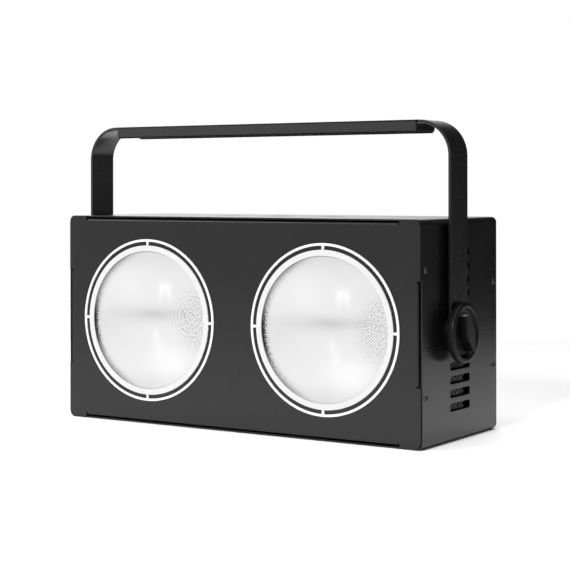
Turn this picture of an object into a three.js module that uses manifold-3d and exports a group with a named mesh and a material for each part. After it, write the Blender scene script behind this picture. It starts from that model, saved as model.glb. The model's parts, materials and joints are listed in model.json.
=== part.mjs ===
// Two-eye audience blinder light: a sheet-steel box with two round lamps, hung in a yoke.
// Millimetres, +Z up, front facing -Y, +X to the right as seen from the front.
// The origin is the middle of the bottom sheet, which the light stands on.

import * as THREE from 'three';
import { mergeVertices } from 'three/addons/utils/BufferGeometryUtils.js';
import Module from 'manifold-3d';

const wasm = await Module();
wasm.setup();

// General values
const fit = 0.3; // clearance between pieces that meet or run in one another
const overrun = 4; // how far a cutting tool reaches past what it cuts
const weldDistance = 0.0001; // vertices nearer than this are one

// Facets round a full turn
const fineFacets = 28; // lamp openings and what fills them
const ringFacets = 24;
const roundFacets = 20;
const barrelFacets = 14;
const smallFacets = 8;
const studFacets = 6;

// Facets of arcs
const bendFacets = 6; // a quarter turn of the yoke's large bends
const strapEndFacets = 8; // a half turn at the yoke's feet
const slotEndFacets = 3; // a half turn at a narrow slot's end
const slotCornerFacets = 1; // a quarter turn at a side slot's corner
const cornerFacets = 2; // a quarter turn of a small corner

// Body
const bodyWidth = 416;
const bodyHeight = 210;
const bodyDepth = 160; // over the front and rear plates
const wall = 1.5; // sheet of the housing
const bendRadius = 5.5; // outer radius of the housing's four long edges
const plateSheet = 1.5; // front and rear plates
const plateInset = 1; // plate edge to housing outline
const plateCorner = 6.5;

// Side vents, two groups of slots above and below the pivot
const slotLength = 41;
const slotHeight = 7.5;
const slotPitch = 12.9;
const slotCorner = 2.4;
const slotFirst = 34; // first slot's centre above and below mid-height
const slotSetback = 2; // slots sit this far ahead of mid-depth
const slotsPerGroup = 4;

// Top vents, three groups of narrow slots
const topSlotLength = 28;
const topSlotWidth = 3.5;
const topSlotPitch = 8;
const topGroupPitch = 61;
const topGroupSetback = 5; // groups sit this far behind mid-depth
const topSlotsPerGroup = 3;
const topGroups = 3;

// Mesh behind the side vents
const meshSheet = 1;
const meshMargin = 7; // mesh beyond the outermost slots
const meshBar = 1.8; // width of the metal between two slits
const meshSlit = 3; // width of a slit along its row
const meshLean = 0.5; // slits lean by this angle, in radians

// Flanges, tabs and screws that join the plates to the housing
const flangeSheet = 1.5;
const flangeDepth = 15;
const topNotchEnd = 23; // from a notch's end to the housing's corner
const sideNotchEnd = 56.5;
const notchDepth = 2.2;
const topNotchLength = bodyWidth - 2 * topNotchEnd;
const sideNotchLength = bodyHeight - 2 * sideNotchEnd;
const tabWidth = 13;
const screwSetback = 8.5; // screw axis behind the plate's outer face
const frontScrewRise = 58.5; // from mid-height
const rearScrewRise = 41.5;
const screwShankRadius = 1.5;
const screwHeadRadius = 3;
const screwCrownRadius = 2;
const screwHeadHeight = 1.4;
const screwLength = 7;

// Lamp units
const eyeShare = 0.5; // lamp spacing as a share of the housing's width
const trimGap = 22.2; // a trim ring to the plane midway between the lamps
const trimEdge = 23.2; // a trim ring to the housing's top and bottom
const trimLine = 2.4; // width of a trim ring's outer circle
const trimWindow = 3.9; // width of its arc windows
const trimBand = 5.7; // width of its inner band
const trimLap = 2.2; // the band's overhang over the hole in the plate
const eyeSpacing = bodyWidth * eyeShare;
const trimOuterRadius = Math.min(eyeSpacing / 2 - trimGap, bodyHeight / 2 - trimEdge);
const trimWindowOuterRadius = trimOuterRadius - trimLine;
const trimWindowInnerRadius = trimWindowOuterRadius - trimWindow;
const trimInnerRadius = trimWindowInnerRadius - trimBand;
const apertureRadius = trimInnerRadius + trimLap; // hole in the front plate
const trimSheet = 1.5;
const trimTick = 2.7; // width of the four bridges across the windows
const lensFlangeWidth = 6; // flange beyond the hole in the plate
const lensFlangeRadius = apertureRadius + lensFlangeWidth;
const lensFlangeThickness = 2;
const lensCrown = 2.3; // rise of the lens at its centre
const domeShares = [0, 0.4, 0.75, 1]; // rings of the dome as shares of its radius
const gasketWidth = 5;
const gasketThickness = 1.5;
const retainerSheet = 2;
const retainerStudInset = 3.5; // weld studs outside the lens flange
const retainerEdge = 4; // retainer beyond the studs' circle
const retainerStudCircle = lensFlangeRadius + retainerStudInset;
const retainerRadius = retainerStudCircle + retainerEdge;
const studRadius = 1.8;
const studLength = 9;
const studsPerEye = 4;

// Reflector
const reflectorMouthMargin = 1; // mouth beyond the hole in the plate
const reflectorMouthRadius = apertureRadius + reflectorMouthMargin;
const reflectorFlange = 1.5;
const reflectorNeckRadius = 16;
const reflectorWall = 1.4;
const reflectorRings = 3;
const reflectorNarrowing = 1.7; // powers of the share of the way from mouth to neck
const reflectorDeepening = 0.95;

// LED module and its holder
const ledSize = 29;
const ledBoard = 1.6;
const ledDiscRadius = 12.5;
const ledDiscHeight = 0.8;
const holderSize = 46;
const holderThickness = 6;
const holderBoreRadius = 15;

// Heat sink
const sinkBase = 6;
const sinkBaseSetback = 58; // base front face behind the front plate's outer face
const sinkFanGap = 21.5; // fin tips to fan
const sinkFinThickness = 2;
const sinkFins = 13;
const postRadius = 4;
const postInset = 6; // post axis from the sink's edge
const postGap = 0.5; // post to retainer
const postAngle = Math.atan(4 / 3); // from level, seen from the eye's centre
const postCircle = retainerRadius + postRadius + postGap;
const postAcross = postCircle * Math.cos(postAngle);
const postUp = postCircle * Math.sin(postAngle);
const sinkWidth = 2 * (postAcross + postInset);
const sinkHeight = 2 * (postUp + postInset);

// Fans
const fanSize = 92;
const fanDepth = 25;
const fanCorner = 5;
const fanRim = 2; // thinnest part of the frame round the bore
const fanBoreRadius = fanSize / 2 - fanRim;
const fanHubRadius = 17;
const fanMotorDepth = 5;
const fanStrutWidth = 4;
const fanStruts = 4;
const bladeGap = 1.5; // blade tip to bore
const bladeThickness = 1.4;
const bladeDepth = 14;
const bladeCount = 7;
const bladeRootAngle = 0.95;
const bladeTipAngle = 0.6;

// Depths left between the front plate and the rear panel
const sinkFinDepth = bodyDepth - sinkBaseSetback - sinkBase - sinkFanGap - fanDepth - plateSheet;

// Rear panel
const grilleInset = 2; // grille's circle inside the fan's bore
const grilleSlots = 7;
const grilleSlot = 6; // width of a grille slot
const grilleRadius = fanBoreRadius - grilleInset;
const grillePitch = (2 * grilleRadius) / grilleSlots;
const boardWidth = 78;
const boardHeight = 48;
const boardThickness = 1.6;
const boardSetback = 12; // board's outer face inside the panel's outer face
const boardRise = 53; // board centre above mid-height
const boardStudRadius = 2;
const boardStudInset = 4;

// Display and buttons
const displayWidth = 40;
const displayHeight = 16;
const displayRise = 64; // above mid-height
const displayRecess = 0.6;
const buttonRadius = 3.3;
const buttonCollarRadius = 4.6;
const buttonCollar = 1.2;
const buttonEdge = 0.4; // chamfer round the cap
const buttonStand = 2.2; // cap proud of the panel
const buttonPitch = 15;
const buttonRise = 40;
const buttonCount = 4;
const buttonTravel = 0.8;
const switchSize = 6;
const switchStand = 0.2; // free play under a button before its switch

// Sockets, in two rows of two
const socketShare = 0.125; // spacing as a share of the housing's width
const socketSpacing = bodyWidth * socketShare;

// Signal sockets
const dmxRise = 12;
const dmxFlangeWidth = 26;
const dmxFlangeHeight = 31;
const dmxFlange = 2;
const dmxFlangeCorner = 3;
const dmxBarrelRadius = 11.5;
const dmxBarrelDepth = 22;
const dmxCavityRadius = 9.3;
const dmxCavityDepth = 12;
const dmxPinRadius = 1.2;
const dmxPinCircle = 4.6;
const dmxPinRecess = 2;
const dmxInsertRadius = 7;
const dmxHoleRadius = 1.5;
const latchWidth = 7;
const latchHeight = 3;
const latchStand = 2;
const latchTravel = 1;

// Mains sockets and fuse
const powerDrop = 42; // below mid-height
const powerFlangeWidth = 32;
const powerFlangeHeight = 25;
const powerFlange = 2.5;
const powerFlangeCorner = 2;
const powerCavityWidth = 24.4;
const powerCavityHeight = 16.2;
const powerCavityChamfer = 4.5;
const powerCavityDepth = 14;
const powerWall = 1.8;
const powerFloor = 3;
const powerBladeWidth = 2;
const powerBladeHeight = 4;
const powerBladeSpacing = 14;
const powerBladeRecess = 3;
const powerEarthRise = 4;
const powerPlugMargin = 2.4; // gap round the outlet's block
const fuseRadius = 8;
const fuseFlangeRadius = 9.5;
const fuseFlange = 2;
const fuseLength = 26;
const fuseDrop = 78;
const fuseCapRadius = 6.4;
const fuseCapHeight = 5;
const fuseCapDepth = 7;
const fuseSlotWidth = 1.6;
const fuseSlotDepth = 1.4;

// Safety eye
const eyeWire = 5; // wire diameter
const eyeLoopWidth = 26; // between the leg axes
const eyeReach = 8; // straight part of each leg outside the panel
const eyeRise = 92;
const eyeFootRadius = 5;
const eyeFootHeight = 2;
const eyeSteps = 12; // straight pieces along the wire

// LED driver
const driverGap = 7; // case to heat sink
const driverSheet = 2;
const driverWidth = 2 * (eyeSpacing / 2 - sinkWidth / 2 - driverGap);
const driverSetback = 66; // driver's front face behind the front plate's outer face
const driverRearGap = 34; // case to the rear panel's outer face
const driverDepth = bodyDepth - driverSetback - driverRearGap;
const driverHeight = 128;
const driverLip = 1.5;
const driverRib = 3;
const driverRibs = 6;

// Pivot
const pivotAdvance = 18.5; // pivot axis ahead of mid-depth
const pivotDrop = 2; // and below mid-height
const studSize = 4; // radius of the clamp stud
const boreSize = 4.3; // radius of what the stud passes through
const insertRadius = 9.7;
const insertFlangeRadius = 15;
const insertFlange = 3;
const insertLength = 12;
const washerRadius = 18;
const washerThickness = 4.4;

// Yoke
const strapWidth = 35;
const strapThickness = 3;
const yokeHeight = 200; // pivot axis to the top face
const yokeBend = 34; // outer radius of the two bends
const channelWidth = 39;
const channelSetback = 3.2; // from the end of a bend to the channel's end
const channelDepth = 12;
const channelSheet = 2.5;
const channelCorner = 4;
const clampHoleRadius = 6.5;
const sideHoleRadius = 5.25;
const sideHoleSpacing = 100;

// Knobs
const knobRadius = 28.5;
const knobRim = 6.7;
const knobRimStand = 0.9; // rim behind which the hub stands out
const knobHubRadius = 12;
const knobRecessRadius = 23.5;
const knobRecessDepth = 4.6;
const knobEdge = 1;
const knobGripLength = 37; // grip's long diagonal
const knobGripWidth = 15.2; // and its short one
const knobGripStand = 5; // grip above the rim's face
const knobGripAngle = 0.4; // from upright, in radians
const knobGripBlunt = 1.2; // half width of the grip's blunted tips
const knobBoreDepth = 5;

// Places that several pieces share
const midHeight = bodyHeight / 2;
const bodyHalf = bodyWidth / 2;
const frontFace = -bodyDepth / 2;
const rearFace = bodyDepth / 2;
const shellFront = frontFace + plateSheet;
const shellRear = rearFace - plateSheet;
const wallInner = bodyHalf - wall;
const pivotY = -pivotAdvance;
const pivotZ = midHeight - pivotDrop;
const eyeX = eyeSpacing / 2;
const sinkFront = frontFace + sinkBaseSetback;
const legInner = bodyHalf + washerThickness + fit;
const legOuter = legInner + strapThickness;
const knobBack = legOuter + fit;
const sides = [['left', -1], ['right', 1]];

// Finishes
function finish(color, roughness, metalness) {
  return new THREE.MeshStandardMaterial({ color, roughness, metalness });
}

const blackCoat = finish(0x2c2c2d, 0.5, 0.3);
const blackPlastic = finish(0x1c1c1d, 0.6, 0);
const greyPlastic = finish(0x3a3a3c, 0.6, 0);
const whiteCoat = finish(0xf4f4f2, 0.45, 0);
const clearLens = finish(0xe9edf0, 0.15, 0);
const brightMetal = finish(0xd9dade, 0.2, 1);
const bareAluminium = finish(0xaeb0b3, 0.4, 1);
const zincSteel = finish(0x9a9c9f, 0.45, 1);
const blackRubber = finish(0x151515, 0.9, 0);
const ledYellow = finish(0xe6c64a, 0.6, 0);
const boardGreen = finish(0x1d5a34, 0.5, 0);
const displayBlue = finish(0x20344f, 0.2, 0);

// Solids from geometries
function signedVolume(positions, triangles) {
  const [a, b, c] = [new THREE.Vector3(), new THREE.Vector3(), new THREE.Vector3()];
  let total = 0;
  for (let i = 0; i < triangles.length; i += 3) {
    a.fromArray(positions, 3 * triangles[i]);
    b.fromArray(positions, 3 * triangles[i + 1]);
    c.fromArray(positions, 3 * triangles[i + 2]);
    total += a.dot(b.cross(c));
  }
  return total;
}

function solidOf(geometry) {
  geometry.deleteAttribute('normal');
  geometry.deleteAttribute('uv');
  const merged = mergeVertices(geometry, weldDistance);
  const positions = merged.attributes.position.array;
  const index = merged.index.array;
  let triangles = [];
  for (let i = 0; i < index.length; i += 3) {
    const [a, b, c] = index.subarray(i, i + 3);
    if (a !== b && b !== c && c !== a) triangles.push(a, b, c);
  }
  if (signedVolume(positions, triangles) < 0) triangles = triangles.reverse();
  return new wasm.Manifold(new wasm.Mesh({
    numProp: 3,
    vertProperties: new Float32Array(positions),
    triVerts: new Uint32Array(triangles),
  }));
}

function geometryOf(solid) {
  const mesh = solid.simplify(weldDistance).getMesh();
  const geometry = new THREE.BufferGeometry();
  geometry.setAttribute('position', new THREE.BufferAttribute(mesh.vertProperties, 3));
  geometry.setIndex(new THREE.BufferAttribute(mesh.triVerts, 1));
  geometry.computeVertexNormals();
  return geometry;
}

// Outlines
function arc(x, y, radius, start, end, facets) {
  return Array.from({ length: facets + 1 }, (_, i) => {
    const angle = start + ((end - start) * i) / facets;
    return [x + radius * Math.cos(angle), y + radius * Math.sin(angle)];
  });
}

function polygon(points) {
  return new THREE.Shape(points.map(([x, y]) => new THREE.Vector2(x, y)));
}

function roundedRectangle(width, height, radius, x = 0, y = 0, facets = cornerFacets) {
  const dx = width / 2 - radius;
  const dy = height / 2 - radius;
  const corners = [[1, 1], [-1, 1], [-1, -1], [1, -1]];
  return polygon(corners.flatMap(([i, j], turn) => arc(
    x + i * dx, y + j * dy, radius, (turn * Math.PI) / 2, ((turn + 1) * Math.PI) / 2, facets)));
}

function stadium(length, height, x = 0, y = 0) {
  const radius = height / 2;
  const half = length / 2 - radius;
  return polygon([
    ...arc(x + half, y, radius, -Math.PI / 2, Math.PI / 2, slotEndFacets),
    ...arc(x - half, y, radius, Math.PI / 2, 1.5 * Math.PI, slotEndFacets),
  ]);
}

// An arch: square below, with two rounded corners above
function arch(left, right, bottom, top, radius, facets) {
  return polygon([
    [left, bottom],
    [right, bottom],
    ...arc(right - radius, top - radius, radius, 0, Math.PI / 2, facets),
    ...arc(left + radius, top - radius, radius, Math.PI / 2, Math.PI, facets),
  ]);
}

// An upright strip with a rounded lower end and a square upper end
function footedStrip(width, height, x, bottom) {
  return polygon([
    ...arc(x, bottom + width / 2, width / 2, Math.PI, 2 * Math.PI, strapEndFacets),
    [x + width / 2, bottom + height],
    [x - width / 2, bottom + height],
  ]);
}

// Slabs: an outline in one plane, pushed from one place to another along the third axis.
const axisX = new THREE.Vector3(1, 0, 0);
const axisY = new THREE.Vector3(0, 1, 0);
const axisZ = new THREE.Vector3(0, 0, 1);
const againstY = new THREE.Vector3(0, -1, 0);
const planes = {
  xz: new THREE.Matrix4().makeBasis(axisX, axisZ, againstY),
  yz: new THREE.Matrix4().makeBasis(axisY, axisZ, axisX),
  xy: new THREE.Matrix4().makeBasis(axisX, axisY, axisZ),
};

function slab(shape, plane, from, to) {
  const depth = to - from;
  const geometry = new THREE.ExtrudeGeometry(shape, { depth, bevelEnabled: false });
  geometry.translate(0, 0, plane === 'xz' ? -to : from);
  geometry.applyMatrix4(planes[plane]);
  return solidOf(geometry);
}

function box(xs, ys, zs) {
  const geometry = new THREE.BoxGeometry(xs[1] - xs[0], ys[1] - ys[0], zs[1] - zs[0]);
  geometry.translate((xs[0] + xs[1]) / 2, (ys[0] + ys[1]) / 2, (zs[0] + zs[1]) / 2);
  return solidOf(geometry);
}

// Turned solids: a profile of radius and place along an axis, revolved about it.
function turned(profile, axis, centre, segments) {
  const points = profile.map(([radius, along]) => new THREE.Vector2(radius, along));
  const geometry = new THREE.LatheGeometry([...points, points[0]], segments);
  if (axis === 'x') geometry.rotateZ(-Math.PI / 2);
  if (axis === 'z') geometry.rotateX(Math.PI / 2);
  geometry.translate(...centre);
  return solidOf(geometry);
}

function rod(radius, from, to, axis, centre, segments) {
  return turned([[0, from], [radius, from], [radius, to], [0, to]], axis, centre, segments);
}

function joined(solids) {
  return solids.reduce((sum, solid) => sum.add(solid));
}

function without(solid, cuts) {
  return cuts.reduce((rest, cut) => rest.subtract(cut), solid);
}

function span(centre, width) {
  return [centre - width / 2, centre + width / 2];
}

function evenly(count, pitch) {
  return Array.from({ length: count }, (_, i) => (i - (count - 1) / 2) * pitch);
}

// Places of the side slots' centres above and below mid-height
function slotRises() {
  const rises = [];
  for (let i = 0; i < slotsPerGroup; i += 1) {
    const rise = slotFirst + i * slotPitch;
    rises.push(rise, -rise);
  }
  return rises;
}

// Axes of the screws through each side wall
function screwPlaces() {
  const front = frontFace + screwSetback;
  const rear = rearFace - screwSetback;
  return [
    ['front_top', front, midHeight + frontScrewRise],
    ['front_bottom', front, midHeight - frontScrewRise],
    ['rear_top', rear, midHeight + rearScrewRise],
    ['rear_bottom', rear, midHeight - rearScrewRise],
  ];
}

function screwHoles() {
  const reach = bodyHalf + overrun;
  return screwPlaces().map(([, y, z]) => rod(
    screwShankRadius + fit, -reach, reach, 'x', [0, y, z], studFacets));
}

// Housing: one sheet bent into a tube, open at the front and the rear
function housingShell() {
  const outline = roundedRectangle(bodyWidth, bodyHeight, bendRadius, 0, midHeight);
  const hollow = roundedRectangle(
    bodyWidth - 2 * wall, bodyHeight - 2 * wall, bendRadius - wall, 0, midHeight);
  const tube = slab(outline, 'xz', shellFront, shellRear)
    .subtract(slab(hollow, 'xz', shellFront - overrun, shellRear + overrun));
  const reach = bodyHalf + overrun;
  const cuts = slotRises().map((rise) => {
    const slot = roundedRectangle(
      slotLength, slotHeight, slotCorner, -slotSetback, midHeight + rise, slotCornerFacets);
    return slab(slot, 'yz', -reach, reach);
  });
  cuts.push(rod(insertRadius + fit, -reach, reach, 'x', [0, pivotY, pivotZ], barrelFacets));
  for (const group of evenly(topGroups, topGroupPitch)) {
    for (const offset of evenly(topSlotsPerGroup, topSlotPitch)) {
      const slot = stadium(topSlotLength, topSlotWidth);
      const cut = slab(slot, 'xy', bodyHeight - wall - overrun, bodyHeight + overrun);
      cuts.push(cut.rotate([0, 0, 90]).translate([group + offset, topGroupSetback, 0]));
    }
  }
  return without(tube, [...cuts, ...screwHoles()]);
}

// Tabs that a plate's screws pass through, close inside the side walls
function screwTabs(from, to, rise) {
  const outer = wallInner - fit;
  const tabs = [];
  for (const [, side] of sides) {
    for (const z of [midHeight + rise, midHeight - rise]) {
      const xs = [side * (outer - flangeSheet), side * outer].sort((a, b) => a - b);
      tabs.push(box(xs, [from, to], span(z, tabWidth)));
    }
  }
  return tabs;
}

function eyeCentres() {
  return sides.map(([, side]) => side * eyeX);
}

// Weld studs for a lens retainer, at the diagonals of an eye
function retainerStudPlaces(x) {
  return Array.from({ length: studsPerEye }, (_, i) => {
    const angle = ((i + 0.5) * 2 * Math.PI) / studsPerEye;
    return [x + retainerStudCircle * Math.cos(angle), midHeight + retainerStudCircle * Math.sin(angle)];
  });
}

// Posts that carry a heat sink, at its corners
function postPlaces(x) {
  const corners = [[1, 1], [1, -1], [-1, 1], [-1, -1]];
  return corners.map(([i, j]) => [x + i * postAcross, midHeight + j * postUp]);
}

// Front plate: overlaps the housing's edge, with a bent flange behind the middle of each side
function frontPlate() {
  const width = bodyWidth - 2 * plateInset;
  const height = bodyHeight - 2 * plateInset;
  const outline = roundedRectangle(width, height, plateCorner, 0, midHeight);
  const sheet = slab(outline, 'xz', frontFace, shellFront);
  const depth = [frontFace - overrun, shellFront + overrun];
  const edgeX = width / 2 - notchDepth;
  const edgeZ = height / 2 - notchDepth;
  const notches = [];
  const flanges = [];
  const flangeYs = [frontFace, frontFace + flangeDepth];
  for (const [, side] of sides) {
    const farX = edgeX + notchDepth + overrun;
    const farZ = edgeZ + notchDepth + overrun;
    const notchXs = [side * edgeX, side * farX].sort((a, b) => a - b);
    const notchZs = [midHeight + side * edgeZ, midHeight + side * farZ].sort((a, b) => a - b);
    notches.push(box(notchXs, depth, span(midHeight, sideNotchLength)));
    notches.push(box(span(0, topNotchLength), depth, notchZs));
    const xs = [side * (edgeX - flangeSheet), side * edgeX].sort((a, b) => a - b);
    const zs = [midHeight + side * (edgeZ - flangeSheet), midHeight + side * edgeZ].sort((a, b) => a - b);
    flanges.push(box(xs, flangeYs, span(midHeight, sideNotchLength - 2 * flangeSheet)));
    flanges.push(box(span(0, topNotchLength - 2 * flangeSheet), flangeYs, zs));
  }
  const carriers = [];
  const holes = [];
  for (const x of eyeCentres()) {
    holes.push(rod(apertureRadius, ...depth, 'y', [x, 0, midHeight], fineFacets));
    for (const [px, pz] of retainerStudPlaces(x)) {
      carriers.push(rod(
        studRadius, frontFace + plateSheet / 2, shellFront + studLength, 'y', [px, 0, pz], studFacets));
    }
  }
  const tabs = screwTabs(frontFace + plateSheet / 2, frontFace + flangeDepth, frontScrewRise);
  const plate = without(sheet, notches);
  return without(joined([plate, ...flanges, ...tabs, ...carriers]), [...holes, ...screwHoles()]);
}

// A flat ring of sheet between two radii
function ring(outer, inner, from, to, centre, segments) {
  const profile = [[inner, from], [outer, from], [outer, to], [inner, to]];
  return turned(profile, 'y', centre, segments);
}

// Trim ring: a thin outer circle and a broad inner band, joined by four ticks
function trimRing(x) {
  const centre = [x, 0, midHeight];
  const back = frontFace;
  const front = frontFace - trimSheet;
  const band = ring(trimOuterRadius, trimInnerRadius, front, back, centre, fineFacets);
  const window = ring(
    trimWindowOuterRadius, trimWindowInnerRadius, front - overrun, back + overrun, centre, fineFacets);
  const reach = 2 * trimOuterRadius;
  const ys = [front - overrun - overrun, back + overrun + overrun];
  const ticks = [
    box(span(x, trimTick), ys, span(midHeight, reach)),
    box(span(x, reach), ys, span(midHeight, trimTick)),
  ];
  return band.subtract(without(window, ticks));
}

const gasketBack = shellFront + gasketThickness;
const lensFlangeBack = gasketBack + lensFlangeThickness;
const retainerBack = lensFlangeBack + retainerSheet;

// Lens: a shallow dome that stands in the plate's hole, with a flange behind the plate
function lens(x) {
  const plugRadius = apertureRadius - fit;
  const shoulder = frontFace + fit;
  const domeRadius = trimInnerRadius - fit;
  const dome = domeShares.map((share) => [
    domeRadius * share, shoulder - lensCrown * (1 - share * share)]);
  const profile = [
    ...dome,
    [plugRadius, shoulder],
    [plugRadius, gasketBack],
    [lensFlangeRadius, gasketBack],
    [lensFlangeRadius, lensFlangeBack],
    [0, lensFlangeBack],
  ];
  return turned(profile, 'y', [x, 0, midHeight], fineFacets);
}

function gasket(x) {
  const inner = lensFlangeRadius - gasketWidth;
  return ring(lensFlangeRadius, inner, shellFront, gasketBack, [x, 0, midHeight], ringFacets);
}

function retainer(x) {
  const plate = ring(
    retainerRadius, reflectorMouthRadius, lensFlangeBack, retainerBack, [x, 0, midHeight], ringFacets);
  const holes = retainerStudPlaces(x).map(([px, pz]) => rod(
    studRadius + fit, lensFlangeBack - overrun, retainerBack + overrun, 'y', [px, 0, pz], studFacets));
  return without(plate, holes);
}

// Reflector: a faceted bowl from the retainer to the LED holder
function reflector(x) {
  const mouth = retainerBack;
  const neck = sinkFront - holderThickness - fit;
  const bowl = (i) => {
    const share = i / reflectorRings;
    const narrowing = (reflectorMouthRadius - reflectorNeckRadius) * share ** reflectorNarrowing;
    return [reflectorMouthRadius - narrowing, mouth + (neck - mouth) * share ** reflectorDeepening];
  };
  const inside = Array.from({ length: reflectorRings + 1 }, (_, i) => bowl(i));
  const outside = inside.slice(1).reverse().map(([radius, along]) => [radius + reflectorWall, along]);
  const profile = [
    ...inside,
    ...outside,
    [reflectorMouthRadius + reflectorWall, mouth + reflectorFlange],
    [lensFlangeRadius, mouth + reflectorFlange],
    [lensFlangeRadius, mouth],
  ];
  return turned(profile, 'y', [x, 0, midHeight], roundFacets);
}

function ledModule(x) {
  const board = box(span(x, ledSize), [sinkFront - ledBoard, sinkFront], span(midHeight, ledSize));
  const ys = [sinkFront - ledBoard - ledDiscHeight, sinkFront - ledBoard / 2];
  const disc = rod(ledDiscRadius, ...ys, 'y', [x, 0, midHeight], barrelFacets);
  return board.add(disc);
}

function ledHolder(x) {
  const outline = roundedRectangle(holderSize, holderSize, plateCorner, x, midHeight);
  const block = slab(outline, 'xz', sinkFront - holderThickness, sinkFront);
  const pocketSize = ledSize + 2 * fit;
  const pocket = box(
    span(x, pocketSize), [sinkFront - ledBoard - fit, sinkFront + overrun], span(midHeight, pocketSize));
  const ys = [sinkFront - holderThickness - overrun, sinkFront + overrun];
  const bore = rod(holderBoreRadius, ...ys, 'y', [x, 0, midHeight], barrelFacets);
  return without(block, [pocket, bore]);
}

// Heat sink: an extruded comb, its fins upright, with four posts that stand on the front plate's back
function heatSink(x) {
  const pitch = (sinkWidth - sinkFinThickness) / (sinkFins - 1);
  const root = sinkFront + sinkBase;
  const tip = root + sinkFinDepth;
  const left = -sinkWidth / 2;
  const points = [[-left, root], [-left, sinkFront], [left, sinkFront], [left, root]];
  for (let i = 0; i < sinkFins; i += 1) {
    const finLeft = left + i * pitch;
    const finRight = finLeft + sinkFinThickness;
    points.push([finLeft, root], [finLeft, tip], [finRight, tip], [finRight, root]);
  }
  const outline = points.filter(([px, py], i) => {
    const [qx, qy] = points[(i + 1) % points.length];
    return Math.hypot(px - qx, py - qy) > weldDistance;
  });
  const moved = outline.map(([px, py]) => [x + px, py]);
  const comb = slab(polygon(moved), 'xy', midHeight - sinkHeight / 2, midHeight + sinkHeight / 2);
  const posts = postPlaces(x).map(([px, pz]) => rod(
    postRadius, shellFront, sinkFront + sinkBase / 2, 'y', [px, 0, pz], studFacets));
  return joined([comb, ...posts]);
}

const fanRear = shellRear;
const fanFront = fanRear - fanDepth;

// Fan frame: a square duct with the motor mount carried on four struts at its rear
function fanFrame(x) {
  const centre = [x, 0, midHeight];
  const outline = roundedRectangle(fanSize, fanSize, fanCorner, x, midHeight);
  const block = slab(outline, 'xz', fanFront, fanRear);
  const bore = rod(fanBoreRadius, fanFront - overrun, fanRear + overrun, 'y', centre, roundFacets);
  const mount = [fanRear - fanMotorDepth, fanRear];
  const hub = rod(fanHubRadius, ...mount, 'y', centre, barrelFacets);
  const parts = [block.subtract(bore), hub];
  for (let i = 0; i < fanStruts; i += 1) {
    const strut = box([0, fanBoreRadius + fanCorner / 2], mount, span(0, fanStrutWidth));
    parts.push(strut.rotate([0, ((i + 0.5) * 360) / fanStruts, 0]).translate(centre));
  }
  return joined(parts);
}

// One fan blade, standing on the hub and twisted towards its tip
function fanBlade() {
  const bladeSpan = fanBoreRadius - bladeGap - fanHubRadius / 2;
  const geometry = new THREE.BoxGeometry(bladeThickness, bladeDepth, bladeSpan, 1, 1, 2);
  const position = geometry.attributes.position;
  const vertex = new THREE.Vector3();
  for (let i = 0; i < position.count; i += 1) {
    vertex.fromBufferAttribute(position, i);
    const share = vertex.z / bladeSpan + 0.5;
    vertex.applyAxisAngle(axisZ, bladeRootAngle + (bladeTipAngle - bladeRootAngle) * share);
    vertex.z = fanHubRadius / 2 + share * bladeSpan;
    position.setXYZ(i, vertex.x, vertex.y, vertex.z);
  }
  return solidOf(geometry);
}

// Fan rotor: a hub cup and its blades, in front of the motor mount
function fanRotor(x) {
  const front = fanFront + bladeGap;
  const back = fanRear - fanMotorDepth - bladeGap / 2;
  const centre = [x, (front + back) / 2, midHeight];
  const hub = rod(fanHubRadius, front, back, 'y', [x, 0, midHeight], barrelFacets);
  const blade = fanBlade();
  const blades = Array.from({ length: bladeCount }, (_, i) => blade
    .rotate([0, (i * 360) / bladeCount, 0])
    .translate(centre));
  return joined([hub, ...blades]);
}

// Mesh behind a side wall's vents: leaning slits behind each group of slots, with metal between them
function sideMesh(side) {
  const groupHeight = (slotsPerGroup - 1) * slotPitch + slotHeight;
  const groupRise = slotFirst + ((slotsPerGroup - 1) * slotPitch) / 2;
  const outer = wallInner - fit;
  const xs = [side * (outer - meshSheet), side * outer].sort((a, b) => a - b);
  const width = slotLength + 2 * meshMargin;
  const height = 2 * groupRise + groupHeight + 2 * meshMargin;
  const sheet = box(xs, span(-slotSetback, width), span(midHeight, height));
  const lean = groupHeight * Math.tan(meshLean);
  const pitch = meshSlit + meshBar;
  const count = Math.floor((width - lean) / pitch);
  const cuts = [];
  for (const rise of [groupRise, -groupRise]) {
    const [low, high] = span(midHeight + rise, groupHeight);
    for (const offset of evenly(count, pitch)) {
      const foot = -slotSetback + offset - lean / 2;
      const head = foot + lean;
      const slit = polygon([
        [foot - meshSlit / 2, low],
        [foot + meshSlit / 2, low],
        [head + meshSlit / 2, high],
        [head - meshSlit / 2, high],
      ]);
      cuts.push(slab(slit, 'yz', xs[0] - overrun, xs[1] + overrun));
    }
  }
  const reach = bodyHalf + overrun;
  cuts.push(rod(insertFlangeRadius + fit, -reach, reach, 'x', [0, pivotY, pivotZ], barrelFacets));
  return without(sheet, cuts);
}

// Places on the rear panel, left and right of its middle
const socketX = socketSpacing / 2;
const dmxZ = midHeight + dmxRise;
const powerZ = midHeight - powerDrop;
const fuseZ = midHeight - fuseDrop;
const boardZ = midHeight + boardRise;
const boardOuter = rearFace - boardSetback;
const boardInner = boardOuter - boardThickness;
const displayZ = midHeight + displayRise;
const buttonZ = midHeight + buttonRise;
const eyeZ = midHeight + eyeRise;

function boardStudPlaces() {
  const dx = boardWidth / 2 - boardStudInset;
  const dz = boardHeight / 2 - boardStudInset;
  return [[1, 1], [1, -1], [-1, 1], [-1, -1]].map(([i, j]) => [i * dx, boardZ + j * dz]);
}

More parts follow.
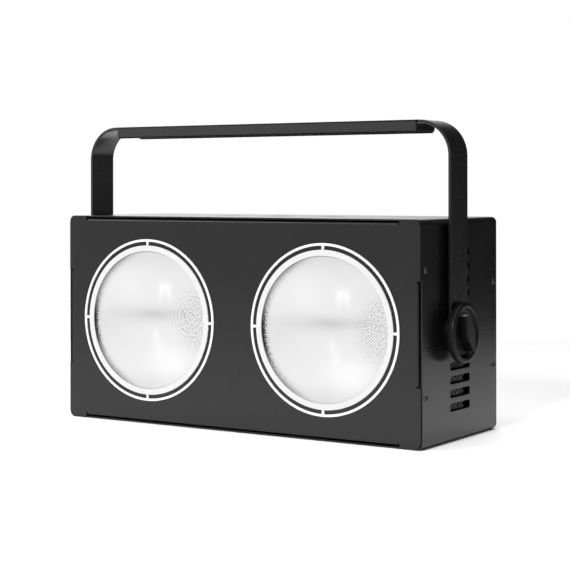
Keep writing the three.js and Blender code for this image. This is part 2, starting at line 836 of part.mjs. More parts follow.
// Slots of one fan grille, as long as its circle is wide at each
function grilleCuts(x) {
  return evenly(grilleSlots, grillePitch).map((rise) => {
    const length = 2 * Math.sqrt(grilleRadius ** 2 - rise ** 2);
    const slot = stadium(length, grilleSlot, x, midHeight + rise);
    return slab(slot, 'xz', shellRear - overrun, rearFace + overrun);
  });
}

// Rear panel: overlaps the housing's rear edge and carries the sockets, board and fans
function rearPanel() {
  const width = bodyWidth - 2 * plateInset;
  const height = bodyHeight - 2 * plateInset;
  const outline = roundedRectangle(width, height, plateCorner, 0, midHeight);
  const sheet = slab(outline, 'xz', shellRear, rearFace);
  const inside = rearFace - plateSheet / 2;
  const tabs = screwTabs(rearFace - flangeDepth, inside, rearScrewRise);
  const boardStuds = boardStudPlaces().map(([x, z]) => rod(
    boardStudRadius, boardOuter, inside, 'y', [x, 0, z], studFacets));
  const ys = [shellRear - overrun, rearFace + overrun];
  const cuts = eyeCentres().flatMap((x) => grilleCuts(x));
  for (const [, side] of sides) {
    cuts.push(rod(dmxBarrelRadius + fit, ...ys, 'y', [side * socketX, 0, dmxZ], barrelFacets));
    cuts.push(box(
      span(side * socketX, powerCavityWidth + 2 * (powerWall + fit)), ys,
      span(powerZ, powerCavityHeight + 2 * (powerWall + fit))));
  }
  cuts.push(rod(fuseRadius + fit, ...ys, 'y', [0, 0, fuseZ], barrelFacets));
  cuts.push(box(span(0, displayWidth + 2 * fit), ys, span(displayZ, displayHeight + 2 * fit)));
  for (const x of evenly(buttonCount, buttonPitch)) {
    cuts.push(rod(buttonRadius + fit, ...ys, 'y', [x, 0, buttonZ], smallFacets));
  }
  return without(joined([sheet, ...tabs, ...boardStuds]), [...cuts, ...screwHoles()]);
}

// Control board with a switch under each button
function controlBoard() {
  const board = box(span(0, boardWidth), [boardInner, boardOuter], span(boardZ, boardHeight));
  const stand = buttonInner - buttonTravel - switchStand;
  const switches = evenly(buttonCount, buttonPitch).map((x) => box(
    span(x, switchSize), [boardInner + boardThickness / 2, stand], span(buttonZ, switchSize)));
  return joined([board, ...switches]);
}

function displayWindow() {
  const ys = [boardOuter, rearFace - displayRecess];
  return box(span(0, displayWidth), ys, span(displayZ, displayHeight));
}

const collarOuter = shellRear - fit;
const buttonInner = collarOuter - buttonCollar - buttonTravel - 2 * buttonStand;

function button(x) {
  const outer = rearFace + buttonStand;
  return turned([
    [0, buttonInner],
    [buttonRadius, buttonInner],
    [buttonRadius, collarOuter - buttonCollar],
    [buttonCollarRadius, collarOuter - buttonCollar],
    [buttonCollarRadius, collarOuter],
    [buttonRadius, collarOuter],
    [buttonRadius, outer - buttonEdge],
    [buttonRadius - buttonEdge, outer],
    [0, outer],
  ], 'y', [x, 0, buttonZ], smallFacets);
}

// Signal socket body: a square flange on the panel and a barrel through it
function dmxBody(x) {
  const outline = roundedRectangle(dmxFlangeWidth, dmxFlangeHeight, dmxFlangeCorner, x, dmxZ);
  const face = rearFace + dmxFlange;
  const flange = slab(outline, 'xz', rearFace, face);
  const barrel = rod(dmxBarrelRadius, face - dmxBarrelDepth, face, 'y', [x, 0, dmxZ], barrelFacets);
  const cavity = rod(
    dmxCavityRadius, face - dmxCavityDepth, face + overrun, 'y', [x, 0, dmxZ], barrelFacets);
  return flange.add(barrel).subtract(cavity);
}

function dmxContacts(x) {
  return [0, 1, 2].map((i) => {
    const angle = Math.PI + (i * Math.PI) / 2;
    return [x + dmxPinCircle * Math.cos(angle), dmxZ + dmxPinCircle * Math.sin(angle)];
  });
}

function dmxIn(x) {
  const face = rearFace + dmxFlange;
  const ys = [face - dmxCavityDepth - dmxPinRecess, face - dmxPinRecess];
  const pins = dmxContacts(x).map(([px, pz]) => rod(dmxPinRadius, ...ys, 'y', [px, 0, pz], studFacets));
  return joined([dmxBody(x), ...pins]);
}

const latchZ = dmxZ + dmxCavityRadius + latchHeight;

function dmxOut(x) {
  const face = rearFace + dmxFlange;
  const ys = [face - dmxCavityDepth - dmxPinRecess, face - dmxPinRecess / 2];
  const insert = rod(dmxInsertRadius, ...ys, 'y', [x, 0, dmxZ], barrelFacets);
  const holes = dmxContacts(x).map(([px, pz]) => rod(
    dmxHoleRadius, face - dmxCavityDepth, face + overrun, 'y', [px, 0, pz], studFacets));
  const travel = [latchZ - latchHeight / 2 - latchTravel - fit, latchZ + latchHeight / 2 + fit];
  const pocket = box(span(x, latchWidth + 2 * fit), [rearFace + fit, face + overrun], travel);
  return without(dmxBody(x).add(insert), [...holes, pocket]);
}

// Release tab of the outgoing signal socket, pressed towards the socket's axis
function dmxLatch(x) {
  const ys = [rearFace + 2 * fit, rearFace + dmxFlange + latchStand];
  return box(span(x, latchWidth), ys, span(latchZ, latchHeight));
}

// Outline of a mains connector: a rectangle with its two upper corners cut
function powerOutline(x, grow) {
  const half = powerCavityWidth / 2 + grow;
  const top = powerZ + powerCavityHeight / 2 + grow;
  const bottom = powerZ - powerCavityHeight / 2 - grow;
  return polygon([
    [x - half, bottom],
    [x + half, bottom],
    [x + half, top - powerCavityChamfer],
    [x + half - powerCavityChamfer, top],
    [x - half + powerCavityChamfer, top],
    [x - half, top - powerCavityChamfer],
  ]);
}

function powerBody(x) {
  const face = rearFace + powerFlange;
  const outline = roundedRectangle(powerFlangeWidth, powerFlangeHeight, powerFlangeCorner, x, powerZ);
  const flange = slab(outline, 'xz', rearFace, face);
  const floor = face - powerCavityDepth;
  const shell = slab(powerOutline(x, powerWall), 'xz', floor - powerFloor, face);
  const cavity = slab(powerOutline(x, 0), 'xz', floor, face + overrun);
  return flange.add(shell).subtract(cavity);
}

function bladePlaces(x) {
  const half = powerBladeSpacing / 2;
  return [[x - half, powerZ], [x + half, powerZ], [x, powerZ + powerEarthRise]];
}

function powerIn(x) {
  const face = rearFace + powerFlange;
  const ys = [face - powerCavityDepth - powerFloor / 2, face - powerBladeRecess];
  const blades = bladePlaces(x).map(([px, pz]) => box(
    span(px, powerBladeWidth), ys, span(pz, powerBladeHeight)));
  return joined([powerBody(x), ...blades]);
}

function powerOut(x) {
  const face = rearFace + powerFlange;
  const ys = [face - powerCavityDepth - powerFloor / 2, face];
  const block = slab(powerOutline(x, -powerPlugMargin), 'xz', ...ys);
  const slots = bladePlaces(x).map(([px, pz]) => box(
    span(px, powerBladeWidth), [face - powerCavityDepth, face + overrun], span(pz, powerBladeHeight)));
  return without(powerBody(x).add(block), slots);
}

function fuseHolder() {
  const face = rearFace + fuseFlange;
  const centre = [0, 0, fuseZ];
  const body = rod(fuseRadius, face - fuseLength, face, 'y', centre, barrelFacets);
  const flange = rod(fuseFlangeRadius, rearFace, face, 'y', centre, barrelFacets);
  const ys = [face - fuseCapDepth - fit, face + overrun];
  const bore = rod(fuseCapRadius + fit, ...ys, 'y', centre, barrelFacets);
  return body.add(flange).subtract(bore);
}

function fuseCap() {
  const face = rearFace + fuseFlange;
  const top = face + fuseCapHeight;
  const cap = rod(fuseCapRadius, face - fuseCapDepth, top, 'y', [0, 0, fuseZ], barrelFacets);
  const ys = [top - fuseSlotDepth, top + overrun];
  const slot = box(span(0, 2 * fuseCapRadius + overrun), ys, span(fuseZ, fuseSlotWidth));
  return cap.subtract(slot);
}

// Safety eye: a bent wire loop standing out of the panel, with a collar at each foot
class LoopPath extends THREE.Curve {
  getPoint(t) {
    const radius = eyeLoopWidth / 2;
    const total = 2 * eyeReach + Math.PI * radius;
    const way = t * total;
    if (way < eyeReach) return new THREE.Vector3(-radius, way, 0);
    if (way > total - eyeReach) return new THREE.Vector3(radius, total - way, 0);
    const angle = Math.PI - (way - eyeReach) / radius;
    return new THREE.Vector3(radius * Math.cos(angle), eyeReach + radius * Math.sin(angle), 0);
  }
}

function safetyEye() {
  const section = polygon(arc(0, 0, eyeWire / 2, 0, 2 * Math.PI, smallFacets).slice(1));
  const geometry = new THREE.ExtrudeGeometry(section, {
    steps: eyeSteps, bevelEnabled: false, extrudePath: new LoopPath(),
  });
  geometry.translate(0, rearFace, eyeZ);
  const ys = [rearFace, rearFace + eyeFootHeight];
  const feet = sides.map(([, side]) => rod(
    eyeFootRadius, ...ys, 'y', [(side * eyeLoopWidth) / 2, 0, eyeZ], smallFacets));
  return joined([solidOf(geometry), ...feet]);
}

// LED driver: a ribbed cover standing on the housing's floor between the heat sinks
function ledDriver() {
  const front = frontFace + driverSetback;
  const floor = wall;
  const half = driverWidth / 2;
  const pitch = driverDepth / driverRibs;
  const points = [[-half, front], [half, front]];
  for (let i = 0; i < driverRibs; i += 1) {
    const start = front + i * pitch;
    points.push([half, start + pitch - driverRib], [half - driverLip, start + pitch - driverRib]);
    points.push([half - driverLip, start + pitch], [half, start + pitch]);
  }
  points.pop();
  points.push([-half, front + driverDepth]);
  const hollow = box(
    span(0, driverWidth - 2 * (driverLip + driverSheet)),
    [front + driverSheet, front + driverDepth - driverSheet],
    [floor - overrun, floor + driverHeight - driverSheet]);
  return slab(polygon(points), 'xy', floor, floor + driverHeight).subtract(hollow);
}

// Threaded bush in a side wall, which the clamp stud screws into
function pivotBush(side) {
  const flangeOuter = wallInner - fit;
  const flangeInner = flangeOuter - insertFlange;
  const profile = [
    [boreSize, bodyHalf - fit],
    [insertRadius, bodyHalf - fit],
    [insertRadius, flangeOuter],
    [insertFlangeRadius, flangeOuter],
    [insertFlangeRadius, flangeInner],
    [insertRadius, flangeInner],
    [insertRadius, bodyHalf - insertLength],
    [boreSize, bodyHalf - insertLength],
  ].map(([radius, along]) => [radius, side * along]);
  return turned(profile, 'x', [0, pivotY, pivotZ], barrelFacets);
}

function pivotWasher(side) {
  const profile = [
    [boreSize, bodyHalf],
    [washerRadius, bodyHalf],
    [washerRadius, bodyHalf + washerThickness],
    [boreSize, bodyHalf + washerThickness],
  ].map(([radius, along]) => [radius, side * along]);
  return turned(profile, 'x', [0, pivotY, pivotZ], roundFacets);
}

// Yoke: a flat strap bent into a U, its top bar stiffened into a channel by two folded flanges
function yokeOutline(inset, bottom) {
  const half = legOuter - inset;
  const top = pivotZ + yokeHeight - inset;
  const radius = yokeBend - inset;
  return arch(-half, half, bottom, top, radius, bendFacets);
}

function yoke() {
  const ys = span(pivotY, strapWidth);
  const wide = [ys[0] - overrun, ys[1] + overrun];
  const low = pivotZ - strapWidth;
  const strip = slab(yokeOutline(0, low), 'xz', ...ys)
    .subtract(slab(yokeOutline(strapThickness, low - overrun), 'xz', ...wide));
  const legHeight = yokeHeight + strapWidth / 2 + overrun;
  const legEnd = footedStrip(strapWidth, legHeight, pivotY, pivotZ - strapWidth / 2);
  const strap = strip.intersect(slab(legEnd, 'yz', -legOuter - overrun, legOuter + overrun));
  const reach = legOuter + overrun;
  const top = pivotZ + yokeHeight;
  const holes = [rod(boreSize, -reach, reach, 'x', [0, pivotY, pivotZ], barrelFacets)];
  const boreZs = [top - strapThickness - overrun, top + overrun];
  holes.push(rod(clampHoleRadius, ...boreZs, 'z', [0, pivotY, 0], barrelFacets));
  for (const x of evenly(2, sideHoleSpacing)) {
    holes.push(rod(sideHoleRadius, ...boreZs, 'z', [x, pivotY, 0], barrelFacets));
  }
  return without(strap.add(yokeChannel(top)), holes);
}

// The channel of the yoke's top bar: folds with a bend radius and rounded lower corners
function yokeChannel(top) {
  const [front, back] = span(pivotY, channelWidth);
  const reach = legOuter - yokeBend - channelSetback;
  const section = (inset, low) => {
    const radius = Math.max((channelWidth - strapWidth) / 2 - inset, fit);
    return arch(front + inset, back - inset, low, top - inset, radius, cornerFacets);
  };
  const outer = slab(section(0, top - channelDepth), 'yz', -reach, reach);
  const inner = slab(
    section(channelSheet, top - channelDepth - overrun), 'yz', -reach - overrun, reach + overrun);
  const side = roundedRectangle(
    2 * reach, channelDepth + overrun, channelCorner, 0, top - channelDepth / 2 + overrun / 2);
  return outer.subtract(inner).intersect(slab(side, 'xz', front - overrun, back + overrun));
}

// Knob: a round dish with a diamond-shaped grip standing across it
function knob(side) {
  const rimBack = knobBack + knobRimStand;
  const face = rimBack + knobRim;
  const floor = face - knobRecessDepth;
  const centre = [0, pivotY, pivotZ];
  const profile = [
    [0, knobBack],
    [knobHubRadius, knobBack],
    [knobHubRadius, rimBack],
    [knobRadius - knobEdge, rimBack],
    [knobRadius, rimBack + knobEdge],
    [knobRadius, face - knobEdge],
    [knobRadius - knobEdge, face],
    [knobRecessRadius, face],
    [knobRecessRadius - knobEdge, floor],
    [0, floor],
  ].map(([radius, along]) => [radius, side * along]);
  const dish = turned(profile, 'x', centre, ringFacets);
  const half = knobGripLength / 2;
  const thick = knobGripWidth / 2;
  const grip = slab(polygon([
    [-knobGripBlunt, half - knobGripBlunt],
    [knobGripBlunt, half - knobGripBlunt],
    [thick, knobGripBlunt],
    [thick, -knobGripBlunt],
    [knobGripBlunt, -half + knobGripBlunt],
    [-knobGripBlunt, -half + knobGripBlunt],
    [-thick, -knobGripBlunt],
    [-thick, knobGripBlunt],
  ]), 'yz', floor - knobEdge, face + knobGripStand);
  const bar = side > 0 ? grip : grip.mirror([1, 0, 0]);
  const placed = bar.rotate([(knobGripAngle * 180) / Math.PI, 0, 0]).translate(centre);
  const boreEnds = [side * (knobBack - overrun), side * (knobBack + knobBoreDepth)].sort((a, b) => a - b);
  return dish.add(placed).subtract(rod(boreSize, ...boreEnds, 'x', centre, barrelFacets));
}

// Clamp stud, moulded into its knob and screwed into the bush
function clampStud(side) {
  const inner = bodyHalf - insertLength + fit;
  const outer = knobBack + knobBoreDepth - fit;
  const ends = [side * inner, side * outer].sort((a, b) => a - b);
  return rod(studSize, ...ends, 'x', [0, pivotY, pivotZ], barrelFacets);
}

// Pan-head screw through a side wall into a plate's tab
function sideScrew(side, y, z) {
  const top = bodyHalf + screwHeadHeight;
  const profile = [
    [0, bodyHalf - screwLength],
    [screwShankRadius, bodyHalf - screwLength],
    [screwShankRadius, bodyHalf],
    [screwHeadRadius, bodyHalf],
    [screwCrownRadius, top],
    [0, top],
  ].map(([radius, along]) => [radius, side * along]);
  return turned(profile, 'x', [0, y, z], smallFacets);
}

// Assembly
const group = new THREE.Group();
const lampParts = [
  ['trim_ring', trimRing, whiteCoat],
  ['lens', lens, clearLens],
  ['lens_gasket', gasket, blackRubber],
  ['lens_retainer', retainer, zincSteel],
  ['reflector', reflector, brightMetal],
  ['led_module', ledModule, ledYellow],
  ['led_holder', ledHolder, whiteCoat],
  ['heat_sink', heatSink, bareAluminium],
  ['fan_frame', fanFrame, blackPlastic],
  ['fan_rotor', fanRotor, blackPlastic],
];
const pivotParts = [
  ['side_mesh', sideMesh, blackCoat],
  ['pivot_bush', pivotBush, zincSteel],
  ['pivot_washer', pivotWasher, greyPlastic],
  ['clamp_stud', clampStud, zincSteel],
  ['knob', knob, blackPlastic],
];

function place(name, solid, material) {
  const mesh = new THREE.Mesh(geometryOf(solid), material);
  mesh.name = name;
  group.add(mesh);
}

function addBody() {
  place('housing_shell', housingShell(), blackCoat);
  place('front_plate', frontPlate(), blackCoat);
  place('rear_panel', rearPanel(), blackCoat);
  place('yoke', yoke(), blackCoat);
}

function addRear() {
  place('control_board', controlBoard(), boardGreen);
  place('display_window', displayWindow(), displayBlue);
  evenly(buttonCount, buttonPitch).forEach((x, i) => {
    place(`menu_button_${i + 1}`, button(x), blackPlastic);
  });
  place('dmx_in_socket', dmxIn(socketX), blackPlastic);
  place('dmx_out_socket', dmxOut(-socketX), blackPlastic);
  place('dmx_out_latch', dmxLatch(-socketX), zincSteel);
  place('power_in_socket', powerIn(socketX), blackPlastic);
  place('power_out_socket', powerOut(-socketX), blackPlastic);
  place('fuse_holder', fuseHolder(), blackPlastic);
  place('fuse_cap', fuseCap(), blackPlastic);
  place('safety_eye', safetyEye(), zincSteel);
  place('led_driver', ledDriver(), bareAluminium);
}

function addSide(name, side) {
  const eye = side * eyeX;
  for (const [part, make, material] of lampParts) place(`${part}_${name}`, make(eye), material);
  for (const [part, make, material] of pivotParts) place(`${part}_${name}`, make(side), material);
  for (const [spot, y, z] of screwPlaces()) {
    place(`screw_${name}_${spot}`, sideScrew(side, y, z), zincSteel);
  }
}

addBody();
addRear();
for (const [name, side] of sides) addSide(name, side);

export default group;
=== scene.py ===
# Two-eye audience blinder light: the looks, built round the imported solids.
# Pieces are drawn in millimetres, +Z up, front facing -Y, and scaled to metres when they are published.
import json
from math import asin, cos, dist, pi, radians, sin, sqrt, tan

import bmesh
import bpy
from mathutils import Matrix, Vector

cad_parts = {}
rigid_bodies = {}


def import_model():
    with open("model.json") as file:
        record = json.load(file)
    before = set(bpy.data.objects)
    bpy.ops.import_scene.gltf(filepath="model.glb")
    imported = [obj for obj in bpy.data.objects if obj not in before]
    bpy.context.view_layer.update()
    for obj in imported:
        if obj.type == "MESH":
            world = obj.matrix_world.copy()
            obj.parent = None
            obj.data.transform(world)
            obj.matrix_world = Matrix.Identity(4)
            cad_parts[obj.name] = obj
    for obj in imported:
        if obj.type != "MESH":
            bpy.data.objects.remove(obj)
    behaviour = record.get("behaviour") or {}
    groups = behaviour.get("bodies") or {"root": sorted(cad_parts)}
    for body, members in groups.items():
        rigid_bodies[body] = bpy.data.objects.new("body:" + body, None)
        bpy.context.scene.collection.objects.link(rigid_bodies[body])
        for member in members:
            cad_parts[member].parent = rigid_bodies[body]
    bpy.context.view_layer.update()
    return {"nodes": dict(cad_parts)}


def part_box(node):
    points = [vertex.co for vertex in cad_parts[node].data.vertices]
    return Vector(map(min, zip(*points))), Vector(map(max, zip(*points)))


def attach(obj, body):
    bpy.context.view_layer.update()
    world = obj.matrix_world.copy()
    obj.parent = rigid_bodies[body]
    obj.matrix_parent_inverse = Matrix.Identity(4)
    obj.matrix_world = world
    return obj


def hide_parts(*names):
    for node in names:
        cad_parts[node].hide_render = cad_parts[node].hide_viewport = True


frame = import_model()
mm = 0.001
tiny = 0.0001
fullTurn = 2 * pi
sides = {"left": -1, "right": 1}
quarters = ((1, 0), (0, 1), (-1, 0), (0, -1))
print("frame loaded:", len(frame["nodes"]), "nodes")

# Sizes and places that finishes and pieces share; the turn of the grips is in radians
box = {
    "width": 416, "height": 210, "depth": 160, "sheet": 1.5, "plateSheet": 1.5, "bend": 5.5, "bendSteps": 8,
    "edge": 0.3, "pivotHole": 10,
}
halfWidth, middle = box["width"] / 2, box["height"] / 2
front, rear = -box["depth"] / 2, box["depth"] / 2
tubeHalf = rear - box["plateSheet"]
eyeX = 104
domeRadius = 69.5
pivotY, pivotZ = -18.5, 103
gripTurn = 0.4


# Shader helpers: a socket that can be used in sums, and a finish that collects nodes
def operator(operation, swapped=False):
    def run(socket, other=0.0):
        first, second = (other, socket) if swapped else (socket, other)
        return socket.finish.node("ShaderNodeMath", {"operation": operation}, {0: first, 1: second})
    return run


class Socket:
    def __init__(self, finish, plug):
        self.finish = finish
        self.plug = plug

    __add__, __radd__ = operator("ADD"), operator("ADD", True)
    __sub__, __rsub__ = operator("SUBTRACT"), operator("SUBTRACT", True)
    __mul__, __rmul__ = operator("MULTIPLY"), operator("MULTIPLY", True)
    __pow__, __rpow__ = operator("POWER"), operator("POWER", True)
    __abs__ = operator("ABSOLUTE")


class Finish:
    def __init__(self, name, tree=None):
        if tree is None:
            self.material = bpy.data.materials.new(name)
            self.material.use_nodes = True
            tree = self.material.node_tree
        self.tree = tree
        self.tree.nodes.clear()
        self.place = self.node("ShaderNodeTexCoord", output="Object")

    def node(self, kind, settings=None, sockets=None, output=0):
        made = self.tree.nodes.new(kind)
        for name, value in (settings or {}).items():
            if name == "stops":
                for element, (position, level) in zip(made.color_ramp.elements, value):
                    element.position = position
                    element.color = grey(level)
            else:
                setattr(made, name, value)
        for name, value in (sockets or {}).items():
            if isinstance(value, Socket):
                self.tree.links.new(value.plug, made.inputs[name])
            else:
                made.inputs[name].default_value = value
        return Socket(self, made.outputs[output]) if made.outputs else None

    def noise(self, size, detail, place=None):  # size of one blot in mm
        return self.node("ShaderNodeTexNoise", {}, {
            "Vector": place or self.place, "Scale": 1 / (size * mm), "Detail": detail})

    def cells(self, size, spread=0.0, place=None, **settings):  # size of one cell in mm
        return self.node("ShaderNodeTexVoronoi", settings, {
            "Vector": place or self.place, "Scale": 1 / (size * mm), "Randomness": spread})

    def stretched(self, x, y, z):
        return self.node("ShaderNodeVectorMath", {"operation": "MULTIPLY"}, {0: self.place, 1: (x, y, z)})

    def ramp(self, value, *stops):  # two stops, each a position and a level
        return self.node("ShaderNodeValToRGB", {"stops": stops}, {0: value})

    def mixed(self, share, first, second):
        return self.node("ShaderNodeMix", {"data_type": "RGBA"}, {0: share, 6: first, 7: second}, 2)

    def tone(self, level):
        return self.node("ShaderNodeCombineColor", {}, {0: level, 1: level, 2: level})

    def parts(self, vector):
        split = self.node("ShaderNodeSeparateXYZ", {}, {0: vector})
        return [Socket(self, plug) for plug in split.plug.node.outputs]

    def along(self, vector, way):
        return self.node("ShaderNodeVectorMath", {"operation": "DOT_PRODUCT"}, {0: vector, 1: way}, "Value")

    def faded(self, value, start, end, unit=1):  # 0 before the start, 1 after the end
        return self.node("ShaderNodeMapRange", {"interpolation_type": "SMOOTHSTEP"},
                         {0: value, 1: start * unit, 2: end * unit})

    def bump(self, height, strength, depth):  # depth in mm
        return self.node("ShaderNodeBump", {}, {"Height": height, "Strength": strength, "Distance": depth * mm})

    def surface(self, **sockets):
        named = {name.replace("_", " "): value for name, value in sockets.items()}
        shader = self.node("ShaderNodeBsdfPrincipled", {}, named)
        self.node("ShaderNodeOutputMaterial", {}, {"Surface": shader})
        return self.material


def grey(level, tint=1.0):
    return (level, level, level * tint, 1)


# Finishes
coatLook = {"colour": 0.0045, "spread": 0.001, "roughness": 0.27, "grain": 0.45, "grainDepth": 0.03, "gloss": 0.42}
yokeLook = {"colour": 0.008, "spread": 0.001, "roughness": 0.27, "grain": 0.4, "grainDepth": 0.022, "gloss": 0.64}


def powderCoat(name, look, paintedShadeBands=None):
    # A fine orange-peel grain, with slow changes of gloss; above and below pairs of heights it can be painted dark, as
    # painted shade, by turning into black metal that mirrors almost nothing
    f = Finish(name)
    grain = f.noise(look["grain"], 3)
    peel = f.noise(look["grain"] * 4, 1)
    cloud = f.noise(60, 2)
    colour = f.mixed(cloud, *[grey(look["colour"] + way * look["spread"], 1.02) for way in (-1, 1)])
    speck = f.ramp(f.noise(0.8, 1), (0.66, 0), (0.72, 1))
    rough = look["roughness"] + (cloud - 0.5) * 0.08 + speck * 0.08
    folds = 0.0
    if paintedShadeBands:
        z = f.parts(f.place)[2]
        folds = f.faded(z, *paintedShadeBands["above"], mm) + f.faded(0 - z, *paintedShadeBands["below"], -mm)
    return f.surface(Base_Color=colour, Roughness=rough, Metallic=folds, Specular_IOR_Level=look["gloss"],
                     Normal=f.bump(grain * 0.6 + peel * 0.4, 0.35, look["grainDepth"]))


whiteLook = {"band": 0.57, "thinRing": 0.74, "spread": 0.05, "bandEnd": (76, 78.5)}


def whiteCoat():
    # The broad inner band of a ring is painted darker than its thin outer one, as painted shade; both are one white
    # paint
    f = Finish("whiteCoat")
    look = whiteLook
    x, _, z = f.parts(f.place)
    reach = ((abs(x) - eyeX * mm) ** 2.0 + (z - middle * mm) ** 2.0) ** 0.5
    outside = f.faded(reach, *look["bandEnd"], mm)
    cloud = f.noise(30, 2)
    tone = look["band"] + outside * (look["thinRing"] - look["band"]) + (cloud - 0.5) * look["spread"]
    return f.surface(Base_Color=f.tone(tone), Roughness=0.3 + cloud * 0.12,
                     Normal=f.bump(f.noise(0.5, 2), 0.2, 0.03))


# Milky moulded lens with painted shade and painted highlights; places and sizes of its tones are shares of its radius,
# across and up
lensLook = {
    "alpha": 0.93, "tone": 0.555, "roughness": 0.3,
    "dot": 2.1, "dotTurn": 0.8, "dotSpread": 0.3, "dotShare": 0.85, "dotDim": 0.055, "dotMean": 0.38,
    "dimpleDepth": 0.08, "dotPlace": (1.0, 0.03), "dotReach": 0.6,
    "ringPlace": (0.78, 0.08), "ringPitch": 0.062, "ringSpan": (0.2, 0.5),
    # Dark spots are painted shade, light spots painted highlights and reflections: each a place across and up, a size
    # across and up and a strength
    "dark": [(0.14, 0.1, 0.34, 0.08, 0.1), (-0.3, 0.07, 0.8, 0.12, 0.06), (-0.8, -0.15, 0.3, 0.16, 0.035),
             (0.1, 0.97, 0.8, 0.2, 0.05), (0.0, -0.93, 0.35, 0.16, 0.04), (-0.55, -0.3, 0.4, 0.5, 0.012),
             (0.6, 0.12, 0.22, 0.06, 0.045)],
    "light": [(0.32, 0.48, 0.11, 0.09, 0.09), (0.25, 0.4, 0.045, 0.12, 0.06), (0.39, 0.4, 0.045, 0.1, 0.05),
              (0.45, -0.6, 0.36, 0.24, 0.09), (0.15, -0.19, 0.04, 0.1, 0.05), (0.2, -0.36, 0.09, 0.16, 0.045),
              (-0.3, 0.5, 0.4, 0.24, 0.035), (-0.1, -0.65, 0.5, 0.22, 0.02)],
    "rim": (0.92, 0.975), "rimSide": (0.1, 0.62), "rimRough": 0.14, "rimShare": 0.16, "rimDeep": 0.34,
    "rimRise": -0.1, "rimSpan": 0.36, "rimSoft": 0.1, "softSpan": (0.84, 1.0),
}


def clearLens(name, centre, rings):
    # Milky moulding with fine dimples; the bowl's lit and shaded parts are painted on as soft tones, painted
    # reflections and shade
    f = Finish(name)
    look = lensLook
    x, _, z = f.parts(f.place)
    u = (x - centre * mm) * (1 / (domeRadius * mm))
    v = (z - middle * mm) * (1 / (domeRadius * mm))

    def spot(cu, cv, su, sv, share):
        q = ((u - cu) * (1 / su)) ** 2.0 + ((v - cv) * (1 / sv)) ** 2.0
        return (2.718 ** (0 - q)) * share

    def reach(cu=0.0, cv=0.0):
        return ((u - cu) ** 2.0 + (v - cv) ** 2.0) ** 0.5
    # Painted shade and painted highlights, spot by spot
    tone = look["tone"] - sum(spot(*each) for each in look["dark"]) + sum(spot(*each) for each in look["light"])
    # Dimples lie on a slanting grid; their painted shade and glints, and a painted darkening there, show most at the
    # right
    c, s = cos(look["dotTurn"]), sin(look["dotTurn"])
    grid = f.node("ShaderNodeCombineXYZ", {}, {0: x * c + z * s, 1: z * c - x * s})
    cells = f.cells(look["dot"], look["dotSpread"], grid, voronoi_dimensions="2D", feature="F1")
    grain = f.noise(1.1, 2)
    near = 1 - f.faded(reach(*look["dotPlace"]), look["dotReach"] * 0.5, look["dotReach"])
    tone = tone - near * (look["dotDim"] + (cells - look["dotMean"]) * look["dotShare"] * (0.5 + grain))
    # The left lens gets concentric rings of painted light and shade, standing for rings of dimples
    if rings:
        far = reach(*look["ringPlace"])
        wave = f.node("ShaderNodeMath", {"operation": "SINE"}, {0: far * (fullTurn / look["ringPitch"])})
        tone = tone + wave * (1 - f.faded(far, *look["ringSpan"])) * rings
    # A painted dark edge at the left, painted shade deepest a little below the middle, with softer painted shade
    # inside it
    leftward = f.faded(0 - u, *look["rimSide"])
    deep = look["rimShare"] + spot(-1, look["rimRise"], 9, look["rimSpan"], look["rimDeep"])
    fine = f.noise(1.4, 0)
    edge = f.faded(reach() + (fine - 0.5) * look["rimRough"], *look["rim"]) * (0.6 + fine * 0.8)
    soft = f.faded(reach(), *look["softSpan"]) * look["rimSoft"]
    tone = f.node("ShaderNodeClamp", {}, {0: tone - (edge * deep + soft) * leftward})
    return f.surface(Base_Color=f.tone(tone), Roughness=look["roughness"] + (grain - 0.5) * 0.1,
                     Alpha=look["alpha"], IOR=1.5,
                     Normal=f.bump(cells * near + cells * 0.25, 0.5, look["dimpleDepth"]))


# Mottled finishes: blot, grain and tint are a size in mm with its detail, rough the least and what the blot adds,
# bump its strength and depth in mm
mottledLooks = {
    "brightMetal": {"blot": (14, 2), "tones": [(0.86, 0.87, 0.89, 1), (0.95, 0.95, 0.96, 1)], "metal": 0.75,
                    "rough": (0.24, 0.12), "grain": (2.2, 1), "bump": (0.15, 0.2)},
    # Zinc plate: pale spangle, a little yellow and blue
    "zincSteel": {"blot": (3, 3), "tint": (11, 1), "tones": [(0.52, 0.54, 0.58, 1), (0.62, 0.6, 0.54, 1)],
                  "metal": 1.0, "rough": (0.26, 0.2), "grain": (0.6, 2), "bump": (0.2, 0.03)},
    "blackZinc": {"blot": (1.2, 3), "tones": [grey(0.02), grey(0.06)], "metal": 0.8, "rough": (0.3, 0.15),
                  "bump": (0.2, 0.03)},
    # A pale speckled ring round each side screw: a painted highlight of the head's rim
    "screwRingHighlight": {"blot": (1.2, 3), "tones": [grey(0.04), grey(0.3)], "metal": 0.8, "rough": (0.3, 0.15),
                 "bump": (0.2, 0.03)},
    "meshWire": {"blot": (3, 3), "tones": [grey(0.18), grey(0.3)], "metal": 0.5, "rough": (0.4, 0.2),
                 "grain": (0.5, 2), "bump": (0.3, 0.05)},
    "goldContact": {"blot": (1.5, 3), "tones": [(0.75, 0.55, 0.22, 1), (0.86, 0.68, 0.34, 1)], "metal": 1.0,
                    "rough": (0.24, 0.14), "bump": (0.2, 0.03)},
    "blackRubber": {"blot": (0.9, 4), "tones": [grey(0.008), grey(0.024)], "rough": (0.78, 0.15),
                    "bump": (0.6, 0.2)},
    "displayPlastic": {"blot": (20, 2), "tones": [(0.008, 0.018, 0.035, 1), (0.014, 0.03, 0.055, 1)],
                       "rough": (0.07, 0.05), "grain": (8, 1), "bump": (0.1, 0.05)},
}


